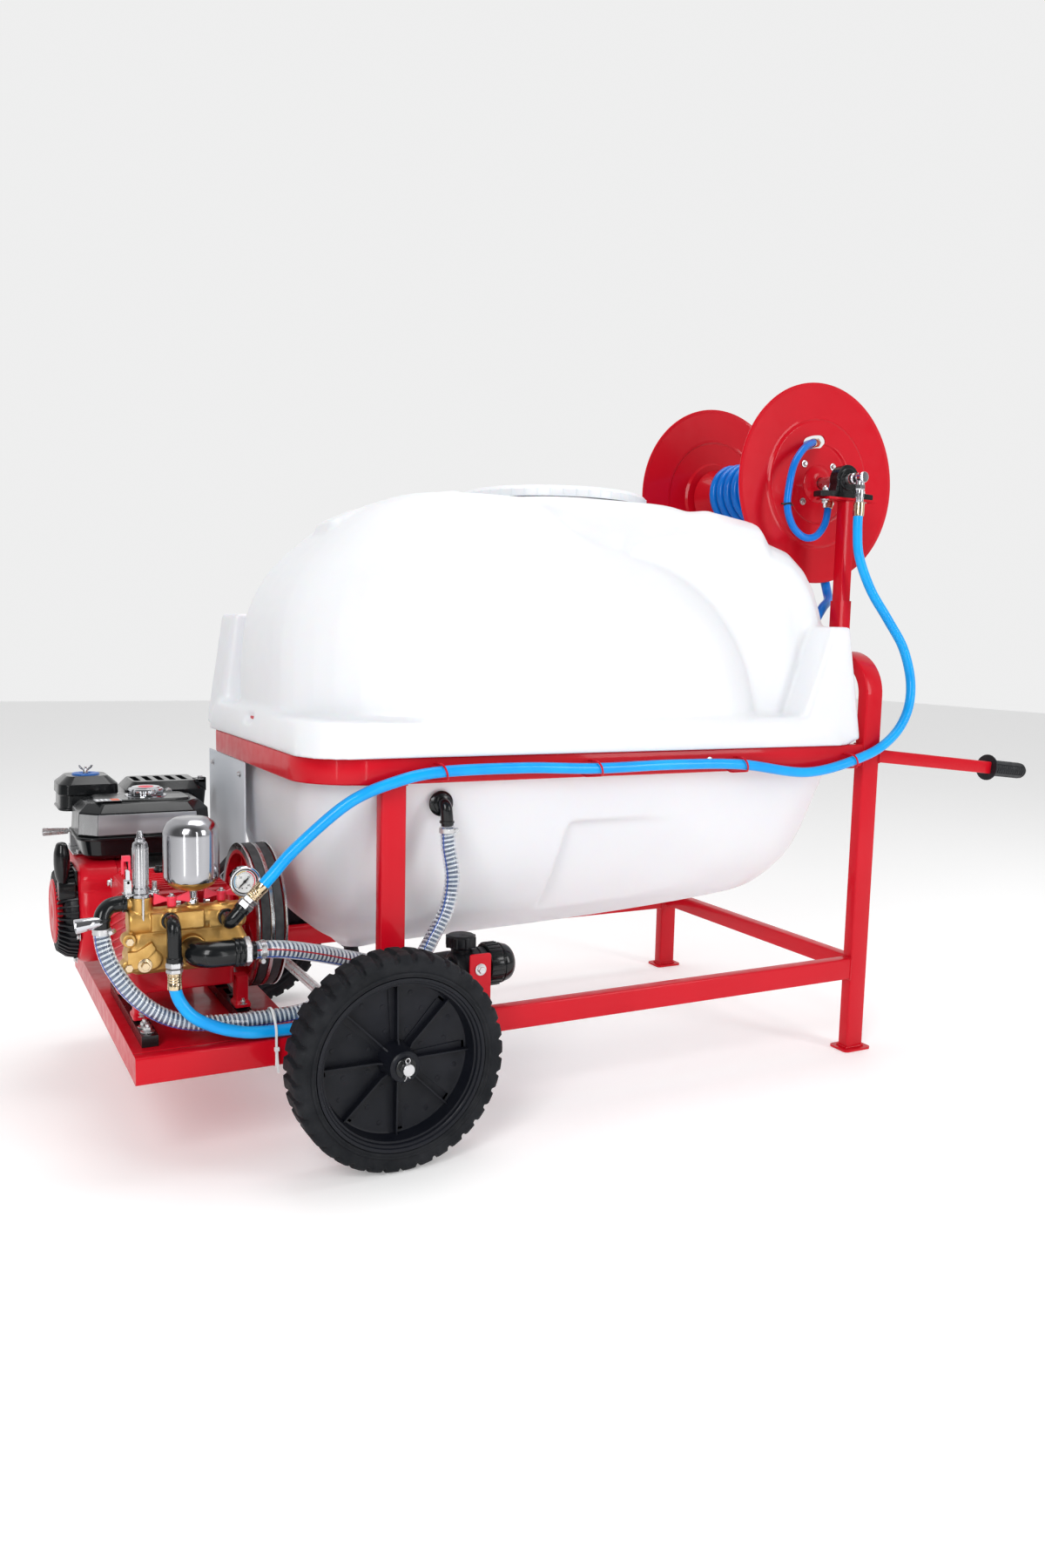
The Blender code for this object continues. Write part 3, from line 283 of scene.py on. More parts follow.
def block(low, high):
    (x0, y0, z0), (x1, y1, z1) = low, high
    points = [(x, y, z) for z in (z0, z1) for y in (y0, y1) for x in (x0, x1)]
    faces = [(0, 2, 3, 1), (4, 5, 7, 6), (0, 1, 5, 4), (2, 6, 7, 3), (0, 4, 6, 2), (1, 3, 7, 5)]
    return np.array(points, float), faces


def rounded(profile, radius, steps=4, closed=False):
    """Fillets the corners of a polyline of pairs."""
    made = []
    count = len(profile)
    for i, corner in enumerate(profile):
        if not closed and i in (0, count - 1):
            made.append(tuple(corner))
            continue
        here = Vector(corner)
        before = Vector(profile[i - 1]) - here
        after = Vector(profile[(i + 1) % count]) - here
        reach = min(radius, before.length * 0.45, after.length * 0.45)
        a, b = here + before.normalized() * reach, here + after.normalized() * reach
        for k in range(steps + 1):
            t = k / steps
            made.append(tuple(a * (1 - t) ** 2 + here * (2 * t * (1 - t)) + b * t ** 2))
    return made


def between_rings(rings, count, closed_rings=False, closed_ring=True):
    """The four-sided faces between neighbouring rings of count points each."""
    faces = []
    for i in range(rings if closed_rings else rings - 1):
        j = (i + 1) % rings
        for k in range(count if closed_ring else count - 1):
            m = (k + 1) % count
            faces.append((i * count + k, i * count + m, j * count + m, j * count + k))
    return faces


def ends_of(rings, count):
    """The two faces that close the first and the last ring."""
    return [tuple(reversed(range(count))), tuple(range((rings - 1) * count, rings * count))]


def lathe(profile, axis, at, steps=48):
    """A turned body. The profile either starts and ends on the axis or closes on itself."""
    solid = profile[0][0] < 1e-6
    body = profile[1:-1] if solid else profile
    points = []
    for k in range(steps):
        a = 2 * math.pi * k / steps
        points += [(r * math.cos(a), r * math.sin(a), h) for r, h in body]
    n = len(body)
    faces = between_rings(steps, n, True, not solid)
    if solid:
        first, last = len(points), len(points) + 1
        points += [(0, 0, profile[0][1]), (0, 0, profile[-1][1])]
        for k in range(steps):
            m = (k + 1) % steps
            faces += [(first, k * n, m * n), (last, m * n + n - 1, k * n + n - 1)]
    return moved((np.array(points), faces), facing(axis, at))


def held(profile, gap=0.0008):
    """The profile with points added near the ends of its long runs, so that flat runs shade flat."""
    made = [profile[0]]
    for a, b in zip(profile, profile[1:]):
        reach = math.dist(a, b)
        if reach > 5 * gap:
            f = gap / reach
            made += [(a[0] + (b[0] - a[0]) * t, a[1] + (b[1] - a[1]) * t) for t in (f, 1 - f)]
        made.append(b)
    return made


def drum(radius, axis, at, length, edge=0.001, steps=32, bend=3):
    """A cylinder with softened ends, in bend steps."""
    profile = rounded([(0, 0), (radius, 0), (radius, length), (0, length)], edge, bend)
    return lathe(profile, axis, at, steps)


def hexagon(size, axis, at, height):
    """A hexagonal nut or bolt head with chamfered corners, size across its flats."""
    r = size / math.sqrt(3)
    rings = [(0.93 * r, 0), (r, 0.12 * height), (r, 0.85 * height), (0.90 * r, height)]
    shape = lathe([(0, 0), *rings, (0, height)], "+Z", (0, 0, 0), 6)
    return moved(shape, facing(axis, at))


def along(points, closed=False):
    """Moving frames along a line: tangent and two normals, carried without twist."""
    points = [Vector(p) for p in points]
    count = len(points)
    tangents = []
    for i in range(count):
        if closed:
            t = points[(i + 1) % count] - points[i - 1]
        else:
            t = points[min(i + 1, count - 1)] - points[max(i - 1, 0)]
        tangents.append(t.normalized())
    guide = Vector((0, 0, 1)) if abs(tangents[0].z) < 0.9 else Vector((0, 1, 0))
    side = tangents[0].cross(guide).normalized()
    frames = []
    for t in tangents:
        side = (side - t * side.dot(t)).normalized()
        frames.append((t, side, t.cross(side)))
    return points, frames


def pipe(points, radius, sides=16, closed=False):
    """A tube along points. radius is a number, or a function of the index."""
    points, frames = along(points, closed)
    shape = []
    for i, (p, (_, u, v)) in enumerate(zip(points, frames)):
        r = radius(i) if callable(radius) else radius
        for k in range(sides):
            a = 2 * math.pi * k / sides
            shape.append(p + u * (r * math.cos(a)) + v * (r * math.sin(a)))
    count = len(points)
    faces = between_rings(count, sides, closed)
    if not closed:
        faces += ends_of(count, sides)
    return np.array(shape), faces


def prism(outline, thickness, plane, level):
    """A flat outline with thickness. plane is "XZ", "YZ" or "XY"; level is its lowest coordinate."""
    order = {"XZ": (0, 2, 1), "YZ": (1, 2, 0), "XY": (0, 1, 2)}[plane]
    points = []
    for offset in (level, level + thickness):
        for a, b in outline:
            p = [0, 0, 0]
            p[order[0]], p[order[1]], p[order[2]] = a, b, offset
            points.append(p)
    n = len(outline)
    faces = [tuple(range(n)), tuple(reversed(range(n, 2 * n)))]
    faces += [(i, i + n, (i + 1) % n + n, (i + 1) % n) for i in range(n)]
    return np.array(points, float), faces


def arc(cx, cy, radius, start, end, count):
    angles = [math.radians(start + (end - start) * i / count) for i in range(count + 1)]
    return [(cx + radius * math.cos(a), cy + radius * math.sin(a)) for a in angles]


def polar(radius, degrees, cx=0.0, cy=0.0):
    return cx + radius * math.cos(math.radians(degrees)), cy + radius * math.sin(math.radians(degrees))


def rectangle(x0, x1, y0, y1, radius, steps=6):
    return (
        arc(x1 - radius, y1 - radius, radius, 0, 90, steps)
        + arc(x0 + radius, y1 - radius, radius, 90, 180, steps)
        + arc(x0 + radius, y0 + radius, radius, 180, 270, steps)
        + arc(x1 - radius, y0 + radius, radius, 270, 360, steps)
    )


def loft(sections, steps=6, between=1):
    """A body through level rounded rectangles (z, x0, x1, y0, y1, corner radius), eased between them."""
    table = np.array(sections, float)
    if between > 1:
        rows = []
        for i in range(len(table) - 1):
            a, b = table[i], table[i + 1]
            before, after = table[max(i - 1, 0)], table[min(i + 2, len(table) - 1)]
            for k in range(between):
                t = k / between
                rows.append(0.5 * (2 * a + (b - before) * t + (2 * before - 5 * a + 4 * b - after) * t ** 2
                                   + (3 * a - before - 3 * b + after) * t ** 3))
        table = np.array(rows + [table[-1]])
    points = []
    for z, x0, x1, y0, y1, r in table:
        points += [(x, y, z) for x, y in rectangle(x0, x1, y0, y1, max(r, 0.001), steps)]
    n = 4 * (steps + 1)
    return np.array(points), between_rings(len(table), n) + ends_of(len(table), n)


def stacked(levels, axis="X"):
    """A body through outlines of equal length, each (position along axis, points in the other two)."""
    points = []
    for level, outline in levels:
        for a, b in outline:
            points.append({"X": (level, a, b), "Y": (a, level, b), "Z": (a, b, level)}[axis])
    n = len(levels[0][1])
    return np.array(points, float), between_rings(len(levels), n) + ends_of(len(levels), n)


def merged(shapes):
    points, faces, start = [], [], 0
    for shape_points, shape_faces in shapes:
        points.append(np.asarray(shape_points, float))
        faces += [tuple(i + start for i in face) for face in shape_faces]
        start += len(shape_points)
    return np.concatenate(points), faces


# Pieces.


def piece(name, body, finish, *more, shapes=(), slot=None, replaces=(), edge=0.0, sharp=35, remesh=0.0,
          soften=0):
    """One visible piece, moved into the row frame. remesh joins overlapping shapes into one skin."""
    points, faces = merged((*shapes, *more))
    mesh = bpy.data.meshes.new(name)
    mesh.from_pydata([(x + AXLE_X, y, z) for x, y, z in points], [], faces)
    obj = bpy.data.objects.new(name, mesh)
    bpy.context.scene.collection.objects.link(obj)
    outward(mesh)
    mesh.materials.append(KINDS[finish])
    if remesh:
        join = obj.modifiers.new("join", "REMESH")
        join.mode = "VOXEL"
        join.voxel_size = remesh
        join.use_smooth_shade = True
        if soften:
            smooth = obj.modifiers.new("soften", "SMOOTH")
            smooth.iterations = soften
            smooth.factor = 0.5
    else:
        mesh.shade_smooth()
        mesh.set_sharp_from_angle(angle=math.radians(sharp))
    if edge:
        soft = obj.modifiers.new("edges", "BEVEL")
        soft.width = edge
        soft.segments = 3
        soft.limit_method = "ANGLE"
        soft.angle_limit = math.radians(30)
        soft.harden_normals = True
    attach(obj, body)
    if replaces:
        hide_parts(*([replaces] if isinstance(replaces, str) else replaces))
    return obj


def outward(mesh):
    bm = bmesh.new()
    bm.from_mesh(mesh)
    bmesh.ops.recalc_face_normals(bm, faces=bm.faces)
    bm.to_mesh(mesh)
    bm.free()


def slot_of(name):
    return next(s["material_slot"] for s in frame["record"]["subparts"] if s["node"] == name)


def tube_curve(name, body, finish, points, radius):
    """A smooth round hose as one open spline."""
    curve = bpy.data.curves.new(name, "CURVE")
    curve.dimensions = "3D"
    curve.bevel_depth = radius
    curve.bevel_resolution = 6
    curve.use_fill_caps = True
    spline = curve.splines.new("POLY")
    spline.points.add(len(points) - 1)
    for target, p in zip(spline.points, points):
        target.co = (p[0] + AXLE_X, p[1], p[2], 1)
    obj = bpy.data.objects.new(name, curve)
    bpy.context.scene.collection.objects.link(obj)
    curve.materials.append(KINDS[finish])
    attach(obj, body)
    return obj


def smooth_route(points, spacing):
    """Evenly spaced points on a smooth curve through the route's own points."""
    knots = [Vector(p) for p in points]
    dense = []
    for i in range(len(knots) - 1):
        before, a = knots[max(i - 1, 0)], knots[i]
        b, after = knots[i + 1], knots[min(i + 2, len(knots) - 1)]
        for k in range(24):
            t = k / 24
            dense.append(0.5 * (2 * a + (b - before) * t + (2 * before - 5 * a + 4 * b - after) * t ** 2
                                + (3 * a - before - 3 * b + after) * t ** 3))
    dense.append(knots[-1])
    total = sum((q - p).length for p, q in zip(dense, dense[1:]))
    count = max(2, round(total / spacing))
    step = total / count
    route, travelled, target = [dense[0]], 0.0, step
    for p, q in zip(dense, dense[1:]):
        length = (q - p).length
        while travelled + length >= target and len(route) < count:
            route.append(p.lerp(q, (target - travelled) / length))
            target += step
        travelled += length
    route.append(dense[-1])
    return route


# Hoses

ROUTES = {
    "supply_hose": [
        (-0.2055, -0.3903, 0.5076), (-0.190, -0.392, 0.525), (-0.145, -0.400, 0.576),
        (-0.055, -0.420, 0.655), (0.029, -0.430, 0.691), (0.122, -0.432, 0.708), (0.302, -0.430, 0.710),
        (0.465, -0.430, 0.704), (0.652, -0.430, 0.706), (0.830, -0.430, 0.701), (1.019, -0.430, 0.678),
        (1.180, -0.430, 0.709), (1.268, -0.424, 0.749), (1.325, -0.412, 0.806), (1.346, -0.398, 0.876),
        (1.328, -0.386, 0.956), (1.285, -0.373, 1.024), (1.240, -0.360, 1.090), (1.208, -0.350, 1.165),
        (1.201, -0.3465, 1.225), (1.201, -0.3463, 1.2817),
    ],
    "return_hose": [
        (-0.4740, -0.3340, 0.4412), (-0.474, -0.335, 0.426), (-0.470, -0.340, 0.402),
        (-0.458, -0.348, 0.370), (-0.428, -0.358, 0.324), (-0.382, -0.364, 0.284),
        (-0.327, -0.368, 0.263), (-0.252, -0.372, 0.257), (-0.146, -0.374, 0.258),
        (-0.105, -0.380, 0.268), (-0.060, -0.398, 0.280), (-0.015, -0.422, 0.292),
        (0.035, -0.434, 0.312), (0.084, -0.434, 0.354), (0.116, -0.428, 0.398), (0.145, -0.420, 0.446),
        (0.158, -0.412, 0.503), (0.1535, -0.402, 0.560), (0.1520, -0.4000, 0.5970),
    ],
    "suction_hose": [
        (-0.2225, -0.400, 0.393), (-0.200, -0.400, 0.393), (-0.160, -0.392, 0.386),
        (-0.098, -0.374, 0.368), (-0.034, -0.356, 0.346), (0.030, -0.345, 0.325),
        (0.095, -0.335, 0.305), (0.145, -0.330, 0.295), (0.1730, -0.330, 0.295),
    ],
    "agitation_hose": [
        (-0.361, -0.384, 0.3507), (-0.361, -0.384, 0.337), (-0.352, -0.387, 0.309),
        (-0.329, -0.393, 0.280), (-0.287, -0.398, 0.257), (-0.241, -0.402, 0.244),
        (-0.198, -0.403, 0.240), (-0.140, -0.400, 0.238), (-0.095, -0.388, 0.2372),
        (-0.045, -0.368, 0.2372), (0.010, -0.348, 0.240), (0.090, -0.312, 0.232),
        (0.150, -0.220, 0.208), (0.185, -0.110, 0.196), (0.200, -0.030, 0.202), (0.2045, 0.030, 0.232),
        (0.205, 0.050, 0.262), (0.205, 0.052, 0.2850),
    ],
    "feed_loop_hose": [
        (1.188, -0.2046, 1.4390), (1.160, -0.222, 1.4340), (1.120, -0.240, 1.414), (1.085, -0.252, 1.376),
        (1.066, -0.260, 1.325), (1.062, -0.262, 1.275), (1.078, -0.266, 1.232), (1.110, -0.270, 1.209),
        (1.145, -0.270, 1.214), (1.172, -0.268, 1.244), (1.183, -0.264, 1.285), (1.1905, -0.2600, 1.3240),
    ],
    "hose_tail": [
        (1.215, -0.125, 1.2490), (1.240, -0.150, 1.200), (1.254, -0.175, 1.140), (1.250, -0.200, 1.093),
        (1.230, -0.228, 1.068), (1.190, -0.255, 1.048), (1.155, -0.269, 1.010), (1.142, -0.272, 0.960),
        (1.142, -0.272, 0.8800),
    ],
}


def make_plain_hoses():
    fitting = piece(
        "spray_hose_coupling", "cart", "ferrule",
        lathe(rounded([(0, 0), (0.0128, 0), (0.0128, 0.026), (0.0105, 0.028), (0.0105, 0.044),
                       (0.0118, 0.046), (0.0118, 0.059), (0, 0.059)], 0.0012, 3),
              "-Z", (1.142, -0.272, 0.879), 32),
        *[lathe([(0.0122, h), (0.0131, h + 0.001), (0.0131, h + 0.003), (0.0122, h + 0.004)],
                "-Z", (1.142, -0.272, 0.879), 32) for h in (0.003, 0.009, 0.015, 0.021)],
        replaces="hose_fitting",
    )
    plan = (
        ("supply_hose", "cart", "blue_hose", HOSE_R, "object", "medium", "hanging", ()),
        ("agitation_hose", "cart", "blue_hose", HOSE_R, "object", "medium", "hanging", ()),
        ("feed_loop_hose", "reel", "deep_blue_hose", LOOP_R, "object", "medium", "hanging", ()),
        ("hose_tail", "cart", "deep_blue_hose", HOSE_R, "fitting", "medium", "hanging", (fitting,)),
    )
    for name, body, finish, radius, far_end, stiffness, lay, more in plan:
        route = smooth_route(ROUTES[name], 0.007)
        obj = tube_curve(name + "_round", body, finish, route, radius)
        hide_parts(name)


def make_clear_hose(name, radius, pitch, lines):
    """Clear hose: an outer skin, the white spiral in its wall, a dark core that is painted shade for the
    hollow inside, and printed lines.
    """
    route = smooth_route(ROUTES[name], 0.004)
    points, frames = along(route)
    skin = piece(name + "_skin", "cart", "clear", pipe(points, radius, 24), slot=slot_of(name), replaces=name)
    # The dark core is painted shade: an opaque tube where the hollow hose only shows shadow inside.
    core = piece(name + "_painted_shade_core", "cart", "core", pipe(points, radius * 0.70, 20), slot=slot_of(name))
    reach = [0.0]
    for p, q in zip(points, points[1:]):
        reach.append(reach[-1] + (q - p).length)
    turns = int(reach[-1] / pitch)
    wire = []
    for i in range(turns * 12):
        s = i / (turns * 12) * reach[-1]
        k = min(int(np.searchsorted(reach, s, side="right")) - 1, len(points) - 2)
        f = (s - reach[k]) / (reach[k + 1] - reach[k])
        a = 2 * math.pi * i / 12
        centre = points[k].lerp(points[k + 1], f)
        u, v = frames[k][1], frames[k][2]
        wire.append(centre + (u * math.cos(a) + v * math.sin(a)) * radius * 0.835)
    spiral = piece(name + "_spiral", "cart", "coil", pipe(wire, radius * 0.135, 7), slot=slot_of(name))
    for finish, facing_way in lines:
        way = Vector(facing_way)
        line = [p + (way - t * way.dot(t)).normalized() * radius * 0.935
                for p, (t, u, v) in zip(points, frames)]
        piece(name + "_" + finish, "cart", finish, pipe(line, radius * 0.085, 6),
                             slot=slot_of(name))


make_camera()
KINDS = make_materials()
make_plain_hoses()
make_clear_hose("return_hose", RETURN_R, 0.0086, (("blue_line", (-0.8, -0.5, -0.5)),))
make_clear_hose("suction_hose", SUCTION_R, 0.0092,
                (("red_line", (-0.2, -1, 0.22)), ("blue_line", (-0.2, -0.75, -0.70))))


# Chassis

PAINT = dict(body="cart", finish="paint")


def strip(path, normal, wide, thick, corner=0.004, steps=3):
    """A rectangular tube along a flat path. wide is its size along normal, thick across it."""
    path, normal = [Vector(p) for p in path], Vector(normal)
    section = rectangle(-wide / 2, wide / 2, -thick / 2, thick / 2, corner, steps)
    points = []
    for i, p in enumerate(path):
        before = (p - path[i - 1]).normalized() if i else (path[1] - p).normalized()
        after = (path[i + 1] - p).normalized() if i < len(path) - 1 else before
        across = normal.cross((before + after).normalized()).normalized()
        stretch = 1 / max(math.cos(before.angle(after) / 2), 0.3)
        points += [p + normal * a + across * (b * stretch) for a, b in section]
    return np.array(points), between_rings(len(path), len(section)) + ends_of(len(path), len(section))


def beam(low, high, corner=0.004):
    """A straight rectangular tube between two opposite corners, along its longest side."""
    low, high = Vector(low), Vector(high)
    size, middle = high - low, (low + high) / 2
    long = max(range(3), key=lambda i: size[i])
    a, b = [i for i in range(3) if i != long]
    ends = []
    for way in (low, high):
        p = middle.copy()
        p[long] = way[long]
        ends.append(p)
    normal = Vector((0, 0, 0))
    normal[a] = 1
    return strip(ends, normal, size[a], size[b], corner)


def weld(points, radius=0.0022, closed=False):
    """A weld bead: a thin line with the ripples of its passes."""
    dense = smooth_run(points, 0.0016, closed)
    return pipe(dense, lambda i: radius * (1 + 0.16 * math.sin(i * 1.9) + 0.07 * math.sin(i * 0.63)), 8)


def smooth_run(points, spacing, closed=False):
    """Evenly spaced points along straight runs."""
    points = [Vector(p) for p in points]
    if closed:
        points.append(points[0])
    run = []
    for a, b in zip(points, points[1:]):
        count = max(1, round((b - a).length / spacing))
        run += [a.lerp(b, k / count) for k in range(count)]
    return run + [points[-1]]


def square(centre, axis, a, b):
    """The corners of a rectangle around a point, in the plane across an axis."""
    u, v = {"X": ((0, 1, 0), (0, 0, 1)), "Y": ((1, 0, 0), (0, 0, 1)), "Z": ((1, 0, 0), (0, 1, 0))}[axis]
    u, v, c = Vector(u), Vector(v), Vector(centre)
    return [c + u * a + v * b, c - u * a + v * b, c - u * a - v * b, c + u * a - v * b]


def weld_around(centre, axis, a, b, radius=0.0022):
    return weld(square(centre, axis, a, b), radius, True)


def bolt(at, axis, size=0.010, washer=True, shank=0.0):
    """A hexagon screw head on its washer; shank lets the thread's end show beyond a nut."""
    shapes, start = [], Vector(at)
    along_axis = (AXES[axis]
                  if isinstance(axis, str) else facing(axis, (0, 0, 0))).to_3x3() @ Vector((0, 0, 1))
    if washer:
        shapes.append(lathe(rounded([(0, 0), (size * 0.95, 0), (size * 0.95, size * 0.16), (0, size * 0.16)],
                                    size * 0.06, 2), axis, start, 24))
        start = start + along_axis * size * 0.15
    shapes.append(hexagon(size, axis, start, size * 0.62))
    if shank:
        shapes.append(drum(size * 0.30, axis, start, size * 0.62 + shank, size * 0.06, 16))
    return shapes


def make_chassis():
    for label, side in (("near", -1), ("far", 1)):
        y0, y1 = sorted((side * 0.409, side * 0.379))
        shapes = [beam((-0.434, y0, 0.175), (1.1997, y1, 0.225))]
        shapes.append(weld_around((1.1985, side * RAIL_Y, 0.200), "X", 0.0150, 0.0250))
        shapes.append(lathe([(0.0115, 0), (0.017, 0), (0.0155, 0.004), (0.0115, 0.005)],
                            "+Y" if side > 0 else "-Y", (0, side * 0.4088, 0.200), 28))
        piece("rail_%s_tube" % label, shapes=shapes, replaces="rail_" + label, **PAINT)

    sheet, low, high = 0.004, 0.175, 0.225
    outline = [(-0.434, low), (-0.430, low), (-0.430, high - sheet), (-0.134, high - sheet), (-0.134, low),
               (-0.130, low), (-0.130, high), (-0.434, high)]
    piece("engine_platform_sheet", shapes=[prism(outline, 0.7574, "XZ", -0.3787)],
          replaces="engine_platform", edge=0.0012, **PAINT)

    piece("rear_cross_rail_tube", shapes=[beam((1.21, -0.3787, 0.185), (1.24, 0.3787, 0.225)),
          *[weld_around((1.225, side * 0.3780, 0.205), "Y", 0.0150, 0.0200) for side in (-1, 1)]],
          replaces="rear_cross_rail", **PAINT)

    def bend(cy, cz, start, end):
        return [(1.225, y, z) for y, z in arc(cy, cz, 0.085, start, end, 14)]

    path = ([(1.225, -RAIL_Y, 0.004)] + bend(-0.309, 0.847, 180, 90) + bend(0.309, 0.847, 90, 0)
            + [(1.225, RAIL_Y, 0.004)])
    shapes = [strip(path, (1, 0, 0), 0.050, 0.030)]
    for side in (-1, 1):
        y = side * RAIL_Y
        shapes.append(foot_plate(1.185, 1.265, y - 0.030, y + 0.030, 0.010, 0.005))
        shapes.append(weld_around((1.225, y, 0.0062), "Z", 0.0250, 0.0150, 0.0026))
        start, end = Vector((1.245, y, 0.7065)), Vector((1.6257, y, 0.6665))
        shapes.append(strip([start, end], Vector((0, 1, 0)), 0.030, 0.030, 0.003))
        shapes.append(weld_around((1.2505, y, 0.7058), "X", 0.0150, 0.0152))
    piece("rear_portal_tube", shapes=shapes, replaces="rear_portal", **PAINT)

    def corner(cy, start, end):
        return [(x, y, RING_Z) for x, y in arc(0.002, cy, 0.115, start, end, 16)]

    path = [(1.1997, RAIL_Y, RING_Z)] + corner(0.279, 90, 180) + corner(-0.279, 180,
                                                                        270) + [(1.1997, -RAIL_Y, RING_Z)]
    shapes = [strip(path, (0, 0, 1), 0.050, 0.030)]
    for side in (-1, 1):
        y0, y1 = sorted((side * 0.409, side * 0.379))
        shapes.append(beam((0.014, y0, 0.2253), (0.064, y1, 0.690)))
        shapes.append(weld_around((0.039, side * RAIL_Y, 0.6836), "Z", 0.0250, 0.0150))
        shapes.append(weld_around((0.039, side * RAIL_Y, 0.2262), "Z", 0.0250, 0.0150))
        shapes.append(weld_around((1.1985, side * RAIL_Y, RING_Z), "X", 0.0150, 0.0250))
    piece("tank_support_tube", shapes=shapes, replaces="tank_support", **PAINT)

    bolts = []
    for x in (-0.085, 0.300, 0.760):
        bolts += bolt((x, -0.4092 if x > 0 else -0.355, RING_Z), "-Y" if x > 0 else (-0.7, -0.7, 0), 0.009)
    piece("tank_support_screws", "cart", "steel", *bolts, edge=0.0003)

    axle = [lathe(rounded([(0, -0.592), (0.011, -0.592), (0.011, 0.592), (0, 0.592)], 0.0015, 3), "+Y",
                  (0, 0, 0.2), 32)]
    piece("axle_bar", "cart", "steel", *axle, replaces="axle")
    shield = block((-0.1250, 0.050, 0.330), (-0.1215, 0.375, 0.6837))
    piece("heat_shield_sheet", "cart", "sheet", shield, replaces="heat_shield", edge=0.0008)
    screws = []
    for y in (0.085, 0.335):
        for z in (0.360, 0.655):
            screws += bolt((-0.1251, y, z), "-X", 0.008)
    piece("heat_shield_screws", "cart", "steel", *screws)

    for label, side in (("near", -1), ("far", 1)):
        y = side * RAIL_Y
        direction = Vector((0.381, 0, -0.040)).normalized()
        at = Vector((1.626, y, 0.6665))
        profile = rounded([(0, 0), (0.0320, 0), (0.0325, 0.004), (0.0200, 0.010)], 0.0012, 3)[:-1]
        profile += [(0.0200, 0.010)]
        ridges = []
        for k in range(13):
            h = 0.014 + k * 0.0080
            ridges += [(0.0185, h), (0.0200, h + 0.0012), (0.0200, h + 0.0050), (0.0185, h + 0.0062)]
        profile += ridges + rounded([(0.0185, 0.119), (0.0195, 0.121), (0.0140, 0.1312), (0, 0.1312)], 0.003,
                                    4)[1:]
        grip = lathe(profile, direction, at, 40)
        pads = around(block((0.0150, -0.0040, 0.016), (0.0203, 0.0040, 0.114)), 4, facing(direction, at), 45)
        piece("grip_%s_rubber" % label, "cart", "black", grip, *pads,
              replaces="grip_" + label, edge=0.0006)


def foot_plate(x0, x1, y0, y1, radius, thick):
    return prism(rounded(rectangle(x0, x1, y0, y1, radius, 5), 0.0005, 1, True), thick, "XY", 0)


def carved(adds, cuts=()):
    """The union of shapes with others cut away, as one closed shape."""
    base, helpers = temporary(adds[0]), []
    for operation, group in (("UNION", adds[1:]), ("DIFFERENCE", cuts)):
        for shape in group:
            other = temporary(shape)
            helpers.append(other)
            step = base.modifiers.new("step", "BOOLEAN")
            step.operation = operation
            step.solver = "EXACT"
            step.object = other
    bpy.context.view_layer.update()
    mesh = bpy.data.meshes.new_from_object(base.evaluated_get(bpy.context.evaluated_depsgraph_get()))
    points = np.array([v.co for v in mesh.vertices])
    faces = [tuple(f.vertices) for f in mesh.polygons]
    for old in (base, *helpers):
        bpy.data.objects.remove(old, do_unlink=True)
    return points, faces


def temporary(shape):
    mesh = bpy.data.meshes.new("temporary")
    mesh.from_pydata([tuple(p) for p in shape[0]], [], shape[1])
    outward(mesh)
    obj = bpy.data.objects.new("temporary", mesh)
    bpy.context.scene.collection.objects.link(obj)
    return obj


# Wheels

LUGS = 37


def make_tyre(side):
    """Treaded tyre: blocks across the tread with a notch between them at each shoulder."""
    half = 0.045
    across = [(0.1610, 0.038), (0.1620, 0.0400), (0.165, 0.0410), (0.1670, 0.0435), (0.1705, 0.0435),
              (0.1725, 0.0412), (0.178, 0.0420), (0.184, 0.0442), (0.1885, 0.0445), (0.1925, 0.0425),
              (0.1965, 0.0385), (0.1990, 0.0335), (0.2000, 0.027), (0.2000, 0.018), (0.2000, 0.009)]
    profile = across + [(0.2000, 0.0)] + [(r, -h) for r, h in reversed(across)]
    per = 12
    points = []
    for k in range(LUGS * per):
        a = 2 * math.pi * k / (LUGS * per)
        for r, h in profile:
            lean = 0.22 * abs(h) / half
            phase = (k / per + lean) % 1.0
            gap = abs(phase - 0.5)
            groove = max(0.0, min(1.0, (0.17 - gap) / 0.06))
            tread = max(0.0, min(1.0, (r - 0.1865) / 0.010))
            depth = 0.0066 * groove * tread
            dent = 0.0016 * groove * max(0.0, min(1.0, (r - 0.178) / 0.006)) * (abs(h) > 0.040)
            rr, hh = r - depth, h - math.copysign(dent, h)
            points.append((rr * math.cos(a), rr * math.sin(a), hh))
    faces = between_rings(LUGS * per, len(profile), True)
    return moved((np.array(points), faces), facing("+Y", (0, side * WHEEL_Y, AXLE_Z)))


